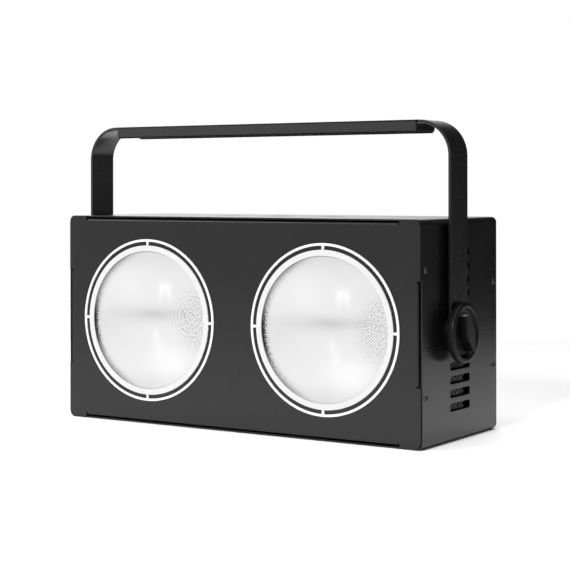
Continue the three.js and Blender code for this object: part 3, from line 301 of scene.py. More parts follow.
def mottled(name):
    # The bump follows the blot unless the look has a grain, and the colour follows it unless it has a tint
    f = Finish(name)
    look = mottledLooks[name]
    blot = f.noise(*look["blot"])
    grain, tint = [f.noise(*look[part]) if part in look else blot for part in ("grain", "tint")]
    return f.surface(Base_Color=f.mixed(tint, *look["tones"]), Metallic=look.get("metal", 0.0),
                     Roughness=look["rough"][0] + blot * look["rough"][1], Normal=f.bump(grain, *look["bump"]))


def bareAluminium():
    # Extrusion lines run up the fins
    f = Finish("bareAluminium")
    lines = f.noise(0.7, 3, f.stretched(1, 1, 0.02))
    cloud = f.noise(25, 2)
    colour = f.mixed(lines, (0.5, 0.51, 0.52, 1), (0.68, 0.69, 0.7, 1))
    return f.surface(Base_Color=colour, Metallic=1.0, Roughness=0.3 + lines * 0.12 + cloud * 0.1,
                     Normal=f.bump(lines, 0.25, 0.05))


def plastic(name, colour, roughness, grain, tint=1.0, gloss=0.5, paintedHighlight=None):
    # Moulded plastic: spark-eroded grain, slow changes of tone, and a painted highlight where a mask is given
    f = Finish(name)
    cloud = f.noise(18, 2)
    texture = f.noise(grain, 3)
    tone = f.mixed(cloud, grey(colour * 0.86, tint), grey(colour * 1.14, tint))
    if paintedHighlight:
        tone = f.mixed(paintedHighlight(f) * (0.7 + texture * 0.5), tone, grey(gripHighlightLook["tone"]))
    return f.surface(Base_Color=tone, Roughness=roughness + (cloud - 0.5) * 0.14 + (texture - 0.5) * 0.1,
                     Specular_IOR_Level=gloss, Normal=f.bump(texture, 0.4, 0.04))


gripHighlightLook = {"tone": 0.14, "start": (18.3, 18.7), "end": (19.4, 20), "side": (1.8, 2.6)}


def gripHighlight(f):
    # The end faces of the grip's tips are painted pale, in the middle of their width: a painted highlight
    _, y, z = f.parts(f.place)
    y, z = y - pivotY * mm, z - pivotZ * mm
    c, s = cos(gripTurn), sin(gripTurn)
    length, across = abs(z * c - y * s), abs(y * c + z * s)
    tip = f.faded(length, *gripHighlightLook["start"], mm) * (1 - f.faded(length, *gripHighlightLook["end"], mm))
    return tip * (1 - f.faded(across, *gripHighlightLook["side"], mm))


def ledPhosphor():
    # Yellow phosphor over a fine grid of chips, on a white ceramic board
    f = Finish("ledPhosphor")
    cell = f.cells(1.6, distance="CHEBYCHEV")
    colour = f.mixed(f.ramp(cell, (0.3, 0), (0.5, 1)), (0.86, 0.62, 0.12, 1), (0.7, 0.47, 0.06, 1))
    return f.surface(Base_Color=colour, Roughness=0.42 + f.noise(2, 2) * 0.2, Normal=f.bump(cell, 0.3, 0.1))


def circuitBoard():
    f = Finish("circuitBoard")
    weave = f.noise(0.8, 2, f.stretched(1, 1, 0.3))
    track = f.ramp(f.noise(4, 1, f.stretched(0.4, 1, 2.2)), (0.49, 0), (0.51, 1))
    colour = f.mixed(track, (0.008, 0.08, 0.028, 1), (0.016, 0.13, 0.05, 1))
    return f.surface(Base_Color=colour, Roughness=0.38 + weave * 0.15,
                     Normal=f.bump(track * 0.6 + weave * 0.4, 0.3, 0.05))


def screenGlass():
    # Blue-grey liquid crystal with a faint dot grid
    f = Finish("screenGlass")
    grid = f.ramp(f.cells(0.62, distance="CHEBYCHEV"), (0.38, 1), (0.46, 0))
    glow = f.noise(14, 1)
    base = f.mixed(glow, (0.035, 0.07, 0.16, 1), (0.05, 0.1, 0.2, 1))
    return f.surface(Base_Color=f.mixed(grid * 0.35, base, (0.02, 0.045, 0.11, 1)), Roughness=0.12 + glow * 0.06)


# One finish for each material slot of the record, then those of single pieces
finishes = {
    "black_coat": powderCoat("blackCoat", coatLook),
    "yoke_coat": powderCoat("yokeCoat", yokeLook),
    "white_coat": whiteCoat(),
    "clear_lens": clearLens("clearLensRight", eyeX, 0),
    "bright_metal": mottled("brightMetal"),
    "bare_aluminium": bareAluminium(),
    "zinc_steel": mottled("zincSteel"),
    "black_rubber": mottled("blackRubber"),
    "led_phosphor": ledPhosphor(),
    "white_plastic": plastic("whitePlastic", 0.78, 0.5, 0.6, 0.98),
    "fan_plastic": plastic("fanPlastic", 0.02, 0.5, 0.7),
    "knob_plastic": plastic("knobPlastic", 0.0025, 0.42, 0.5, gloss=0.21, paintedHighlight=gripHighlight),
    "washer_plastic": plastic("washerPlastic", 0.002, 0.45, 0.6, gloss=0.12),
    "socket_plastic": plastic("socketPlastic", 0.017, 0.42, 0.5),
    "button_plastic": plastic("buttonPlastic", 0.12, 0.5, 0.5),
    "circuit_board": circuitBoard(),
    "display_plastic": mottled("displayPlastic"),
}
lensFinishes = {"left": clearLens("clearLensLeft", -eyeX, 0.045), "right": finishes["clear_lens"]}
darkScrew, ringHighlightFinish = mottled("blackZinc"), mottled("screwRingHighlight")
wireFinish, goldFinish = mottled("meshWire"), mottled("goldContact")
# A near-black, unglossy finish for the strips that stand in for shade below the side vents' slots
shadeStripFinish = plastic("ventShadeStrip", 0.004, 0.9, 0.8, gloss=0.0)
screenFinish = screenGlass()
print("finishes ready:", len(finishes))


# Outlines, as lists of points in a plane; angles are in turns
def arc(x, y, radius, start, end, steps):
    turns = [fullTurn * (start + (end - start) * i / steps) for i in range(steps + 1)]
    return [(x + radius * cos(a), y + radius * sin(a)) for a in turns]


def angles(steps):
    return [fullTurn * i / steps for i in range(steps)]


def rim(x, y, z, radii, steps):
    # A ring of points round Y, each with its own radius
    return [(x + r * cos(a), y, z + r * sin(a)) for r, a in zip(radii, angles(steps))]


def circle(radius, x=0.0, y=0.0, steps=48):
    return arc(x, y, radius, 0, 1, steps)[:-1]


def rectangle(left, low, right, high):
    return [(left, low), (right, low), (right, high), (left, high)]


def roundedBox(width, height, radius, x=0.0, y=0.0, steps=6):
    dx, dy = width / 2 - radius, height / 2 - radius
    corners = [(dx, dy, 0), (-dx, dy, 0.25), (-dx, -dy, 0.5), (dx, -dy, 0.75)]
    return [p for cx, cy, start in corners for p in arc(x + cx, y + cy, radius, start, start + 0.25, steps)]


def stadium(length, height, x=0.0, y=0.0, steps=8):
    half = length / 2 - height / 2
    return arc(x + half, y, height / 2, -0.25, 0.25, steps) + arc(x - half, y, height / 2, 0.25, 0.75, steps)


def evenly(count, pitch):
    return [(i - (count - 1) / 2) * pitch for i in range(count)]


def rounded(points, radius, steps=3, closed=True):
    # Rounds the corners of an outline; a point may carry its own radius as a third value
    made = []
    count = len(points)
    for i, point in enumerate(points):
        here = Vector(point[:2])
        r = point[2] if len(point) > 2 else radius
        if r <= 0 or (not closed and i in (0, count - 1)):
            made.append(tuple(here))
            continue
        before = Vector(points[i - 1][:2]) - here
        after = Vector(points[(i + 1) % count][:2]) - here
        half = before.angle(after) / 2
        reach = min(r / tan(half), before.length / 2, after.length / 2)
        first = here + before.normalized() * reach
        last = here + after.normalized() * reach
        for k in range(steps + 1):
            t = k / steps
            made.append(tuple(first * (1 - t) ** 2 + here * 2 * t * (1 - t) + last * t ** 2))
    return made


# Mesh helpers; u and v are the outline's directions, w the third one
placings = {
    "xz": lambda u, v, w: (u, w, v),
    "yz": lambda u, v, w: (w, u, v),
    "xy": lambda u, v, w: (u, v, w),
}


def addFlat(bm, loops, plane, level):
    put = placings[plane]
    edges = []
    for loop in loops:
        verts = [bm.verts.new(put(u, v, level)) for u, v in loop]
        edges += [bm.edges.new((verts[i - 1], verts[i])) for i in range(len(verts))]
    made = bmesh.ops.triangle_fill(bm, use_beauty=True, use_dissolve=False, edges=edges)
    return [item for item in made["geom"] if isinstance(item, bmesh.types.BMFace)]


def addSheet(bm, loops, plane, low, high):
    faces = addFlat(bm, loops, plane, low)
    made = bmesh.ops.extrude_face_region(bm, geom=faces, use_keep_orig=True)
    verts = [item for item in made["geom"] if isinstance(item, bmesh.types.BMVert)]
    bmesh.ops.translate(bm, verts=verts, vec=placings[plane](0, 0, high - low))


def addGrid(bm, rows, closedRows=False, closedColumns=False, ends=()):
    # Rows of points joined by faces; ends names the rows, 0 or -1, that are capped
    grid = [[bm.verts.new(p) for p in row] for row in rows]
    rowCount, columnCount = len(grid), len(grid[0])
    for i in range(rowCount if closedRows else rowCount - 1):
        for j in range(columnCount if closedColumns else columnCount - 1):
            a, b = grid[i], grid[(i + 1) % rowCount]
            k = (j + 1) % columnCount
            bm.faces.new((a[j], a[k], b[k], b[j]))
    for end in ends:
        bm.faces.new(grid[end])


def addWall(bm, loop, plane, low, high):
    addGrid(bm, [[placings[plane](u, v, level) for u, v in loop] for level in (low, high)], closedColumns=True)


def addLathe(bm, profile, axis, centre, steps=64, closed=False):
    # profile: (radius, along the axis)
    spin = {
        "x": lambda r, t, a: (t, r * cos(a), r * sin(a)),
        "y": lambda r, t, a: (r * cos(a), t, r * sin(a)),
        "z": lambda r, t, a: (r * cos(a), r * sin(a), t),
    }[axis]
    base = Vector(centre)
    rings = []
    for radius, along in profile:
        around = angles(steps) if radius >= tiny else [0]
        rings.append([bm.verts.new(base + Vector(spin(radius, along, a))) for a in around])
    for first, second in list(zip(rings, rings[1:])) + ([(rings[-1], rings[0])] if closed else []):
        for i in range(steps):
            k = (i + 1) % steps
            if len(first) == 1 and len(second) == 1:
                continue
            if len(first) == 1:
                bm.faces.new((first[0], second[i], second[k]))
            elif len(second) == 1:
                bm.faces.new((first[i], first[k], second[0]))
            else:
                bm.faces.new((first[i], first[k], second[k], second[i]))


def addSideLathe(bm, side, profile, y, z, steps, closed=False):
    addLathe(bm, [(radius, side * along) for radius, along in profile], "x", (0, y, z), steps, closed)


def addTube(bm, path, radius, steps=12):
    # A round wire along a path of points, closed at its ends
    points = [Vector(p) for p in path]
    side = None
    rows = []
    for i, point in enumerate(points):
        ahead = (points[min(i + 1, len(points) - 1)] - points[max(i - 1, 0)]).normalized()
        if side is None:
            side = ahead.orthogonal().normalized()
        side = (side - ahead * side.dot(ahead)).normalized()
        up = ahead.cross(side)
        rows.append([point + (side * cos(a) + up * sin(a)) * radius for a in angles(steps)])
    addGrid(bm, rows, closedColumns=True, ends=(0, -1))


def linked(name, data):
    item = bpy.data.objects.new(name, data)
    bpy.context.scene.collection.objects.link(item)
    return item


def meshed(name, bm):
    mesh = bpy.data.meshes.new(name)
    bm.to_mesh(mesh)
    bm.free()
    return linked(name, mesh)


def modify(item, kind, **settings):
    made = item.modifiers.new(kind, kind)
    for name, value in settings.items():
        setattr(made, name, value)


def applyModifiers(item):
    graph = bpy.context.evaluated_depsgraph_get()
    made = bpy.data.meshes.new_from_object(item.evaluated_get(graph), depsgraph=graph)
    item.modifiers.clear()
    old = item.data
    item.data = made
    bpy.data.meshes.remove(old)


def publish(name, bm, slot, body="housing", stands=(), bevel=0.0, thickness=0.0, smooth=35, finish=None):
    # Cleans and scales a drawing, gives it walls and rounded edges, its finish, its body and what it stands for
    bmesh.ops.remove_doubles(bm, verts=bm.verts, dist=0.002)
    bmesh.ops.scale(bm, vec=(mm, mm, mm), verts=bm.verts)
    bmesh.ops.recalc_face_normals(bm, faces=bm.faces)
    item = meshed(name, bm)
    if thickness:
        modify(item, "SOLIDIFY", thickness=thickness * mm, offset=-1, use_even_offset=True)
    if bevel:
        modify(item, "BEVEL", width=bevel * mm, segments=2, limit_method="ANGLE", angle_limit=radians(40))
    if thickness or bevel:
        applyModifiers(item)
    item.data.shade_smooth()
    item.data.set_sharp_from_angle(angle=radians(smooth))
    modify(item, "WEIGHTED_NORMAL", keep_sharp=True)
    applyModifiers(item)
    item.data.materials.clear()
    item.data.materials.append(finish or finishes[slot])
    item.data.name = name
    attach(item, body)
    if stands:
        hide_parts(*stands)


def sheetPiece(name, slot, layers, plane="xz", **more):
    # Each layer: its loops and the two levels that it lies between
    bm = bmesh.new()
    for loops, low, high in layers:
        addSheet(bm, loops, plane, low, high)
    publish(name, bm, slot, **more)


def lathePiece(name, slot, profile, x, z, steps, closed=False, **more):
    bm = bmesh.new()
    addLathe(bm, profile, "y", (x, 0, z), steps, closed)
    publish(name, bm, slot, **more)


# Camera, lights and floor; places in metres
studio = {
    "lens": 99.8, "sensor": 36, "place": (0.8789, -1.3516, 0.2401), "yaw": 32.75, "roll": 0.05, "shift": -0.1728,
    "clip": 0.01, "floorRadius": 0.95, "floorDrop": 0.0003, "floorGlow": 0.24, "footprint": (208, 80),
    "shadeSpan": (-2, 4), "farWay": (0.3, 0.95, 0), "farSpan": (0.2, 0.5), "farShare": 0.2,
}
# name: (place, width, height, power); each box looks at the same point
softBoxes = {
    "keyBox": ((0.3, -2.7, 1.85), 0.7, 0.5, 62),
    "leftBox": ((-1.9, -1.9, 1.6), 1.2, 1.2, 18),
    "topBox": ((0.1, 0.1, 2.4), 2.2, 1.6, 26),
}
boxAim = Vector((0, 0, 0.1))
# The directions in which the room is darkest and brightest, and where each begins and is full
room = {
    "level": 0.47, "wallWay": (-1, 0, 0), "wallSpan": (0.1, 0.9), "wall": 0.52,
    "darkWay": (0.6, 0.8, 0), "darkSpan": (0.3, 0.7), "darkShare": 0.92,
    "glowWay": (-0.54, 0.84, 0), "glowSpan": (0.7, 0.98), "glow": 0.8,
    "liftWay": (0.719, 0.695, 0), "liftSpan": (0.965, 0.997), "lift": 0.28,
    "lowSpan": (-0.01, 0.06), "lowBack": (0.0, 0.4), "lowShare": 0.3,
}


def addCamera():
    data = bpy.data.cameras.new("camera")
    data.lens = studio["lens"]
    data.sensor_width = studio["sensor"]
    data.shift_y = studio["shift"]
    data.clip_start = studio["clip"]
    item = linked("camera", data)
    item.location = studio["place"]
    item.rotation_euler = (radians(90), radians(studio["roll"]), radians(studio["yaw"]))
    bpy.context.scene.camera = item


def addLights():
    for name, (place, width, height, power) in softBoxes.items():
        data = bpy.data.lights.new(name, "AREA")
        data.shape = "RECTANGLE"
        data.size = width
        data.size_y = height
        data.energy = power
        item = linked(name, data)
        item.location = place
        item.rotation_euler = (boxAim - Vector(place)).to_track_quat("-Z", "Y").to_euler()


def addRoom():
    # A white backdrop for the camera; for reflections a room with a bright wall and a dark one
    world = bpy.data.worlds.new("room")
    world.use_nodes = True
    bpy.context.scene.world = world
    f = Finish("room", world.node_tree)
    way = f.node("ShaderNodeTexCoord", output="Generated")
    dark, glow, wall, lift = [f.faded(f.along(way, room[part + "Way"]), *room[part + "Span"])
                              for part in ("dark", "glow", "wall", "lift")]
    _, back, up = f.parts(way)
    below = f.faded(0 - up, *room["lowSpan"]) * f.faded(back, *room["lowBack"])
    level = (room["level"] + wall * room["wall"] + glow * room["glow"]) * (1 - dark * room["darkShare"])
    level = (level + lift * room["lift"]) * (1 - below * room["lowShare"])
    seen = f.node("ShaderNodeLightPath", output="Is Camera Ray")
    strength = seen + (1 - seen) * level
    shade = f.node("ShaderNodeBackground", {}, {"Color": grey(1), "Strength": strength})
    f.node("ShaderNodeOutputWorld", {}, {"Surface": shade})


def addFloor():
    # It glows a little, but the glow is cut under and just round the housing, a painted contact shadow; far off at the
    # right its colour and glow are painted darker, as painted shade
    f = Finish("paleFloor")
    cloud = f.noise(120, 2)
    x, y, _ = f.parts(f.place)
    past = [abs(way) - half * mm for way, half in zip((x, y), studio["footprint"])]
    gap = f.node("ShaderNodeMath", {"operation": "MAXIMUM"}, {0: past[0], 1: past[1]})
    bright = 1 - f.faded(f.along(f.place, studio["farWay"]), *studio["farSpan"]) * studio["farShare"]
    clear = f.faded(gap, *studio["shadeSpan"], mm) * bright
    material = f.surface(Base_Color=f.tone((0.91 + cloud * 0.04) * bright), Roughness=0.7, Specular_IOR_Level=0.1,
                         Emission_Color=f.tone(clear), Emission_Strength=studio["floorGlow"])
    bm = bmesh.new()
    addLathe(bm, [(0, 0)] + [(studio["floorRadius"] * share, 0) for share in (0.2, 0.4, 0.6, 0.8, 1)],
             "z", (0, 0, -studio["floorDrop"]), 96)
    item = meshed("floor", bm)
    item.data.materials.append(material)


addCamera()
addLights()
addRoom()
addFloor()
bpy.context.scene.view_settings.view_transform = "Standard"
print("camera, lights and floor ready")


# Housing: one sheet bent into a tube
sideVents = {"length": 41, "height": 7.5, "corner": 2.4, "pitch": 12.9, "first": 34, "count": 4, "centre": -2}
topVents = {"length": 28, "width": 3.5, "pitch": 8, "groups": 3, "groupPitch": 61, "perGroup": 3, "centre": 5}
screws = {"setback": 8.5, "frontRise": 58.5, "rearRise": 41.5, "hole": 1.8}
ventRises = [way * (sideVents["first"] + i * sideVents["pitch"]) for way in (1, -1) for i in range(sideVents["count"])]
screwPlaces = {f"{end}_{level}": (y, middle + way * screws[end + "Rise"])
               for end, y in (("front", front + screws["setback"]), ("rear", rear - screws["setback"]))
               for level, way in (("top", 1), ("bottom", -1))}


def sideWallLoops():
    loops = [rectangle(-tubeHalf, box["bend"], tubeHalf, box["height"] - box["bend"])]
    loops += [roundedBox(sideVents["length"], sideVents["height"], sideVents["corner"], sideVents["centre"],
                         middle + rise, 5) for rise in ventRises]
    loops.append(circle(box["pivotHole"], pivotY, pivotZ))
    return loops + [circle(screws["hole"], y, z, 16) for y, z in screwPlaces.values()]


def topLoops(reach):
    loops = [rectangle(-reach, -tubeHalf, reach, tubeHalf)]
    slot = stadium(topVents["length"], topVents["width"])
    for group in evenly(topVents["groups"], topVents["groupPitch"]):
        for offset in evenly(topVents["perGroup"], topVents["pitch"]):
            loops.append([(group + offset + v, topVents["centre"] + u) for u, v in slot])
    return loops


def buildHousing():
    bm = bmesh.new()
    bend, reach = box["bend"], halfWidth - box["bend"]
    for side in sides.values():
        addFlat(bm, sideWallLoops(), "yz", side * halfWidth)
        for level, start in ((box["height"] - bend, 0), (bend, -0.25)):
            curve = [(side * x, z) for x, z in arc(reach, level, bend, start, start + 0.25, box["bendSteps"])]
            addGrid(bm, [[(x, y, z) for x, z in curve] for y in (-tubeHalf, tubeHalf)])
    addFlat(bm, topLoops(reach), "xy", box["height"])
    addFlat(bm, [rectangle(-reach, -tubeHalf, reach, tubeHalf)], "xy", 0)
    publish("housing_tube", bm, "black_coat", stands=["housing_shell"], bevel=box["edge"], thickness=box["sheet"])


# Front plate: notched sheet with a flange bent back behind the middle of each edge
plate = {
    "inset": 1, "corner": 6.5, "notch": 2.2, "flangeBend": 2.0, "flangeDepth": 15, "flangeMargin": 1.5,
    "topNotch": 370, "sideNotch": 97, "edge": 0.45, "hole": 72, "holeSteps": 120, "studCircle": 81.5,
}
plateX, plateZ = halfWidth - plate["inset"], middle - plate["inset"]


def plateOutline():
    # One edge at a time, anticlockwise: the notch, with a short relief cut at each end of the flange, and a corner
    deep, margin, radius = plate["notch"] + plate["flangeBend"], plate["flangeMargin"], plate["corner"]
    points = []
    for i, (nx, nz) in enumerate(quarters):
        reach, along, notch = (plateX, plateZ, plate["sideNotch"]) if nx else (plateZ, plateX, plate["topNotch"])
        notch /= 2
        for out, way in ((reach, -notch), (reach - deep, -notch), (reach - deep, -notch + margin),
                         (reach - deep, notch - margin), (reach - deep, notch), (reach, notch)):
            points.append((nx * out - nz * way, nz * out + nx * way))
        out, way = reach - radius, along - radius
        points += arc(nx * out - nz * way, nz * out + nx * way, radius, i * 0.25, i * 0.25 + 0.25, 8)
    return [(x, z + middle) for x, z in points]


def addFlanges(bm):
    bend, margin = plate["flangeBend"], plate["flangeMargin"]
    profile = arc(0, front + bend, bend, -0.25, 0, 5) + [(bend, front + plate["flangeDepth"])]
    for side in sides.values():
        base, reach = plateX - plate["notch"] - bend, plate["sideNotch"] / 2 - margin
        addGrid(bm, [[(side * (base + out), y, middle + way) for out, y in profile] for way in (-reach, reach)])
        base, reach = plateZ - plate["notch"] - bend, plate["topNotch"] / 2 - margin
        addGrid(bm, [[(way, y, middle + side * (base + out)) for out, y in profile] for way in (-reach, reach)])


def buildFrontPlate():
    bm = bmesh.new()
    holes = [circle(plate["hole"], side * eyeX, middle, plate["holeSteps"]) for side in sides.values()]
    addFlat(bm, [plateOutline()] + holes, "xz", front)
    addFlanges(bm)
    publish("front_sheet", bm, "black_coat", stands=["front_plate"], bevel=plate["edge"], thickness=box["plateSheet"])


# Lamp units, from the trim ring in front to the emitter
trim = {"outer": 81.8, "inner": 69.8, "windowOuter": 79.4, "windowInner": 75.5, "tick": 2.7, "sheet": 1.5,
        "edge": 0.25, "steps": 128}
seal = {"outer": 78, "inner": 73, "front": -78.5, "back": -77, "edge": 0.3}
clampRing = {"outer": 85.5, "inner": 73, "front": -75, "back": -73, "edge": 0.3, "studHole": 2.1}


def ringLoops(sizes, x, steps):
    return [circle(sizes[edge], x, middle, steps) for edge in ("outer", "inner")]


def trimWindow(x, start):
    outer, inner = trim["windowOuter"], trim["windowInner"]
    a, b = [asin(trim["tick"] / 2 / radius) / fullTurn for radius in (outer, inner)]
    steps = trim["steps"] // 4
    return (arc(x, middle, outer, start + a, start + 0.25 - a, steps)
            + arc(x, middle, inner, start + 0.25 - b, start + b, steps))


def buildRings(name, x):
    windows = [trimWindow(x, quarter * 0.25) for quarter in range(4)]
    loops = ringLoops(trim, x, trim["steps"]) + windows
    sheetPiece(f"trim_{name}", "white_coat", [(loops, front - trim["sheet"], front)],
               stands=[f"trim_ring_{name}"], bevel=trim["edge"])


def buildSealAndClamp(name, x):
    sheetPiece(f"seal_{name}", "black_rubber", [(ringLoops(seal, x, 96), seal["front"], seal["back"])],
               stands=[f"lens_gasket_{name}"], bevel=seal["edge"])
    studs = [circle(clampRing["studHole"], u, v, 16) for u, v in arc(x, middle, plate["studCircle"], 0.125, 0.875, 3)]
    sheetPiece(f"clamp_ring_{name}", "zinc_steel",
               [(ringLoops(clampRing, x, 96) + studs, clampRing["front"], clampRing["back"])],
               stands=[f"lens_retainer_{name}"], bevel=clampRing["edge"])


lens = {"shoulder": -79.7, "crown": 2.3, "plug": 71.7, "round": 0.4, "gasketBack": -77, "flange": 78,
        "back": -75, "rings": 24, "steps": 128}


def buildLens(name, x):
    # A shallow dome, a plug through the plate's hole and a flange behind it
    s = lens
    shares = [i / s["rings"] for i in range(s["rings"] + 1)]
    profile = [(domeRadius * share, s["shoulder"] - s["crown"] * (1 - share * share)) for share in shares]
    profile += [(s["plug"] - s["round"], s["shoulder"]), (s["plug"], s["shoulder"] + s["round"]),
                (s["plug"], s["gasketBack"]), (s["flange"], s["gasketBack"]), (s["flange"], s["back"]), (0, s["back"])]
    lathePiece(f"lens_clear_{name}", "clear_lens", profile, x, middle, s["steps"], stands=[f"lens_{name}"],
               smooth=50, finish=lensFinishes[name])


bowl = {
    "mouth": 73, "mouthY": -73, "neck": 16, "neckY": -28.3, "wall": 1.4, "lip": 78, "lipSheet": 1.5,
    "narrowing": 1.7, "deepening": 0.95, "rings": 40, "backRings": 12, "steps": 120, "facet": 0.35,
    "facetRows": 12, "facetCount": 30, "facetFade": 10,
}


def bowlPoint(share):
    radius = bowl["mouth"] - (bowl["mouth"] - bowl["neck"]) * share ** bowl["narrowing"]
    return radius, bowl["mouthY"] + (bowl["neckY"] - bowl["mouthY"]) * share ** bowl["deepening"]


def buildBowl(name, x):
    # The inside is hammered into facets; the outside is smooth
    steps = bowl["steps"]
    rows = []
    for i in range(bowl["rings"] + 1):
        share = i / bowl["rings"]
        radius, along = bowlPoint(share)
        depth = bowl["facet"] * min(1, bowl["facetFade"] * share, bowl["facetFade"] * (1 - share))
        ridge = abs(sin(share * bowl["facetRows"] * pi))
        radii = [radius - depth * ridge * abs(sin(a * bowl["facetCount"] / 2)) for a in angles(steps)]
        rows.append(rim(x, along, middle, radii, steps))
    count, back = bowl["backRings"], bowl["mouthY"] + bowl["lipSheet"]
    outline = [(bowlPoint(i / count)[0] + bowl["wall"], bowlPoint(i / count)[1]) for i in range(count, 0, -1)]
    outline += [(bowl["mouth"] + bowl["wall"], back), (bowl["lip"], back), (bowl["lip"], bowl["mouthY"])]
    rows += [rim(x, y, middle, [r] * steps, steps) for r, y in outline]
    bm = bmesh.new()
    addGrid(bm, rows, closedRows=True, closedColumns=True)
    publish(f"bowl_{name}", bm, "bright_metal", stands=[f"reflector_{name}"], smooth=40)


emitter = {
    "board": 29, "boardCorner": 1, "boardSheet": 1.6, "disc": 12.5, "discRise": 0.8, "discRound": (0.5, 0.4),
    "front": -22, "holder": 46, "holderDepth": 6, "holderCorner": 6.5, "holderGap": 0.9, "bore": 15,
    "throat": (1, 1.8), "boreFlare": 4,
}


def buildEmitter(name, x):
    e = emitter
    board = e["front"] - e["boardSheet"]
    top, root = board - e["discRise"], e["front"] - e["boardSheet"] / 2
    bm = bmesh.new()
    addSheet(bm, [roundedBox(e["board"], e["board"], e["boardCorner"], x, middle, 3)], "xz", board, e["front"])
    profile = [(0, top), (e["disc"] - e["discRound"][0], top), (e["disc"], top + e["discRound"][1]),
               (e["disc"], root), (0, root)]
    addLathe(bm, profile, "y", (x, 0, middle), 48)
    publish(f"emitter_{name}", bm, "led_phosphor", stands=[f"led_module_{name}"], bevel=0.15)
    # The holder's bore flares towards the front
    low, high = e["front"] - e["holderDepth"], board - e["holderGap"]
    bore, mouth = e["bore"], e["bore"] + e["boreFlare"]
    outline = roundedBox(e["holder"], e["holder"], e["holderCorner"], x, middle, 8)
    bm = bmesh.new()
    for radius, level in ((mouth, low), (bore, high)):
        addFlat(bm, [outline, circle(radius, x, middle, 64)], "xz", level)
    addLathe(bm, [(mouth, low), (bore + e["throat"][0], low + e["throat"][1]), (bore, high)], "y", (x, 0, middle), 64)
    addWall(bm, outline, "xz", low, high)
    publish(f"emitter_holder_{name}", bm, "white_plastic", stands=[f"led_holder_{name}"], bevel=0.3)


# Vents' mesh: two layers of crossing wires behind each side wall, each with its lean, radius and distance from the
# middle of the mesh, and below each slot a near-black strip that stands in for the shade there
mesh = {"pitch": 5.9, "slope": 1.2, "inset": 3.0, "margin": 5, "rear": 9.0, "shortest": 2,
        "layers": [(1, 0.55, 0.35), (-1, 0.12, -0.6)]}
shadeStrip = {"down": 2.5, "up": 1.4, "back": 22, "corner": 0.5, "insets": (1.55, 2.05)}
meshStart = sideVents["centre"] - sideVents["length"] / 2 - mesh["margin"]


def wireEnds(offset, run, halfY, halfZ):
    # Where the wire y = offset + run * z leaves its frame
    ends = [(offset + run * z, z) for z in (-halfZ, halfZ) if -halfY <= offset + run * z <= halfY]
    ends += [(y, (y - offset) / run) for y in (-halfY, halfY) if -halfZ < (y - offset) / run < halfZ]
    return ends[:2]


def buildSideMesh(name, side):
    bm = bmesh.new()
    groupHeight = (sideVents["count"] - 1) * sideVents["pitch"]
    groupRise = sideVents["first"] + groupHeight / 2
    halfY, centreY = (mesh["rear"] - meshStart) / 2, (mesh["rear"] + meshStart) / 2
    halfZ = (groupHeight + sideVents["height"]) / 2 + mesh["margin"]
    span = halfY + halfZ * mesh["slope"]
    for centreZ in (middle + groupRise, middle - groupRise):
        for lean, radius, out in mesh["layers"]:
            x = side * (halfWidth - mesh["inset"] + out)
            for i in range(int(2 * span / mesh["pitch"]) + 1):
                ends = wireEnds(-span + i * mesh["pitch"], lean * mesh["slope"], halfY, halfZ)
                if len(ends) == 2 and dist(*ends) >= mesh["shortest"]:
                    addTube(bm, [(x, centreY + y, centreZ + z) for y, z in ends], radius, 6)
    publish(f"vent_mesh_{name}", bm, "black_coat", stands=[f"side_mesh_{name}"], smooth=80, finish=wireFinish)
    # Near-black strips below each slot, standing in for the shade there
    levels = [side * (halfWidth - inset) for inset in shadeStrip["insets"]]
    length, centreY, height = shadeStrip["back"] - meshStart, (shadeStrip["back"] + meshStart) / 2, shadeStrip["down"] + shadeStrip["up"]
    bottom = middle - sideVents["height"] / 2 + (shadeStrip["up"] - shadeStrip["down"]) / 2
    sheetPiece(f"vent_ribs_{name}", "black_rubber", [
        ([roundedBox(length, height, shadeStrip["corner"], centreY, bottom + rise, 2)], *levels) for rise in ventRises],
        "yz", finish=shadeStripFinish)


# Screws: heads with a cross recess
screwHead = {"radius": 2.5, "height": 1.4, "length": 7, "shank": 1.5, "crown": 1.5, "point": 0.6, "domeSteps": 4,
             "slotLength": 2.6, "slotWidth": 0.8, "slotDepth": 0.9, "brim": 0.3}
screwRing = {"inner": 1.9, "outer": 2.95, "rise": 0.35, "round": 0.15}
# Shares of a panel screw's radius and height
panelScrew = {"crown": 0.62, "dome": (0.86, 0.8), "shoulder": 0.35}


def addCrown(bm, plane, x, y, scale, radius, top, floor, steps):
    # The flat top of a head with its cross recess
    a, b = screwHead["slotLength"] / 2 * scale, screwHead["slotWidth"] / 2 * scale
    cross = [(x + u * c - v * s, y + u * s + v * c) for c, s in quarters for u, v in ((a, -b), (a, b), (b, b))]
    addFlat(bm, [circle(radius, x, y, steps), cross], plane, top)
    addFlat(bm, [cross], plane, floor)
    addWall(bm, cross, plane, top, floor)


def addSideScrew(bm, side, y, z):
    # A pan head on the side wall, its shank inside
    s = screwHead
    top, end = halfWidth + s["height"], halfWidth + s["height"] - s["length"]
    addCrown(bm, "yz", y, z, 1, s["crown"], side * top, side * (top - s["slotDepth"]), 32)
    profile = [(s["crown"], top)]
    for i in range(1, s["domeSteps"] + 1):
        t = i / s["domeSteps"] * pi / 2
        profile.append((s["crown"] + (s["radius"] - s["crown"]) * sin(t),
                        halfWidth + s["height"] * (s["brim"] + (1 - s["brim"]) * cos(t))))
    profile += [(s["radius"], halfWidth), (s["shank"], halfWidth), (s["shank"], end), (0, end - s["point"])]
    addSideLathe(bm, side, profile, y, z, 32)


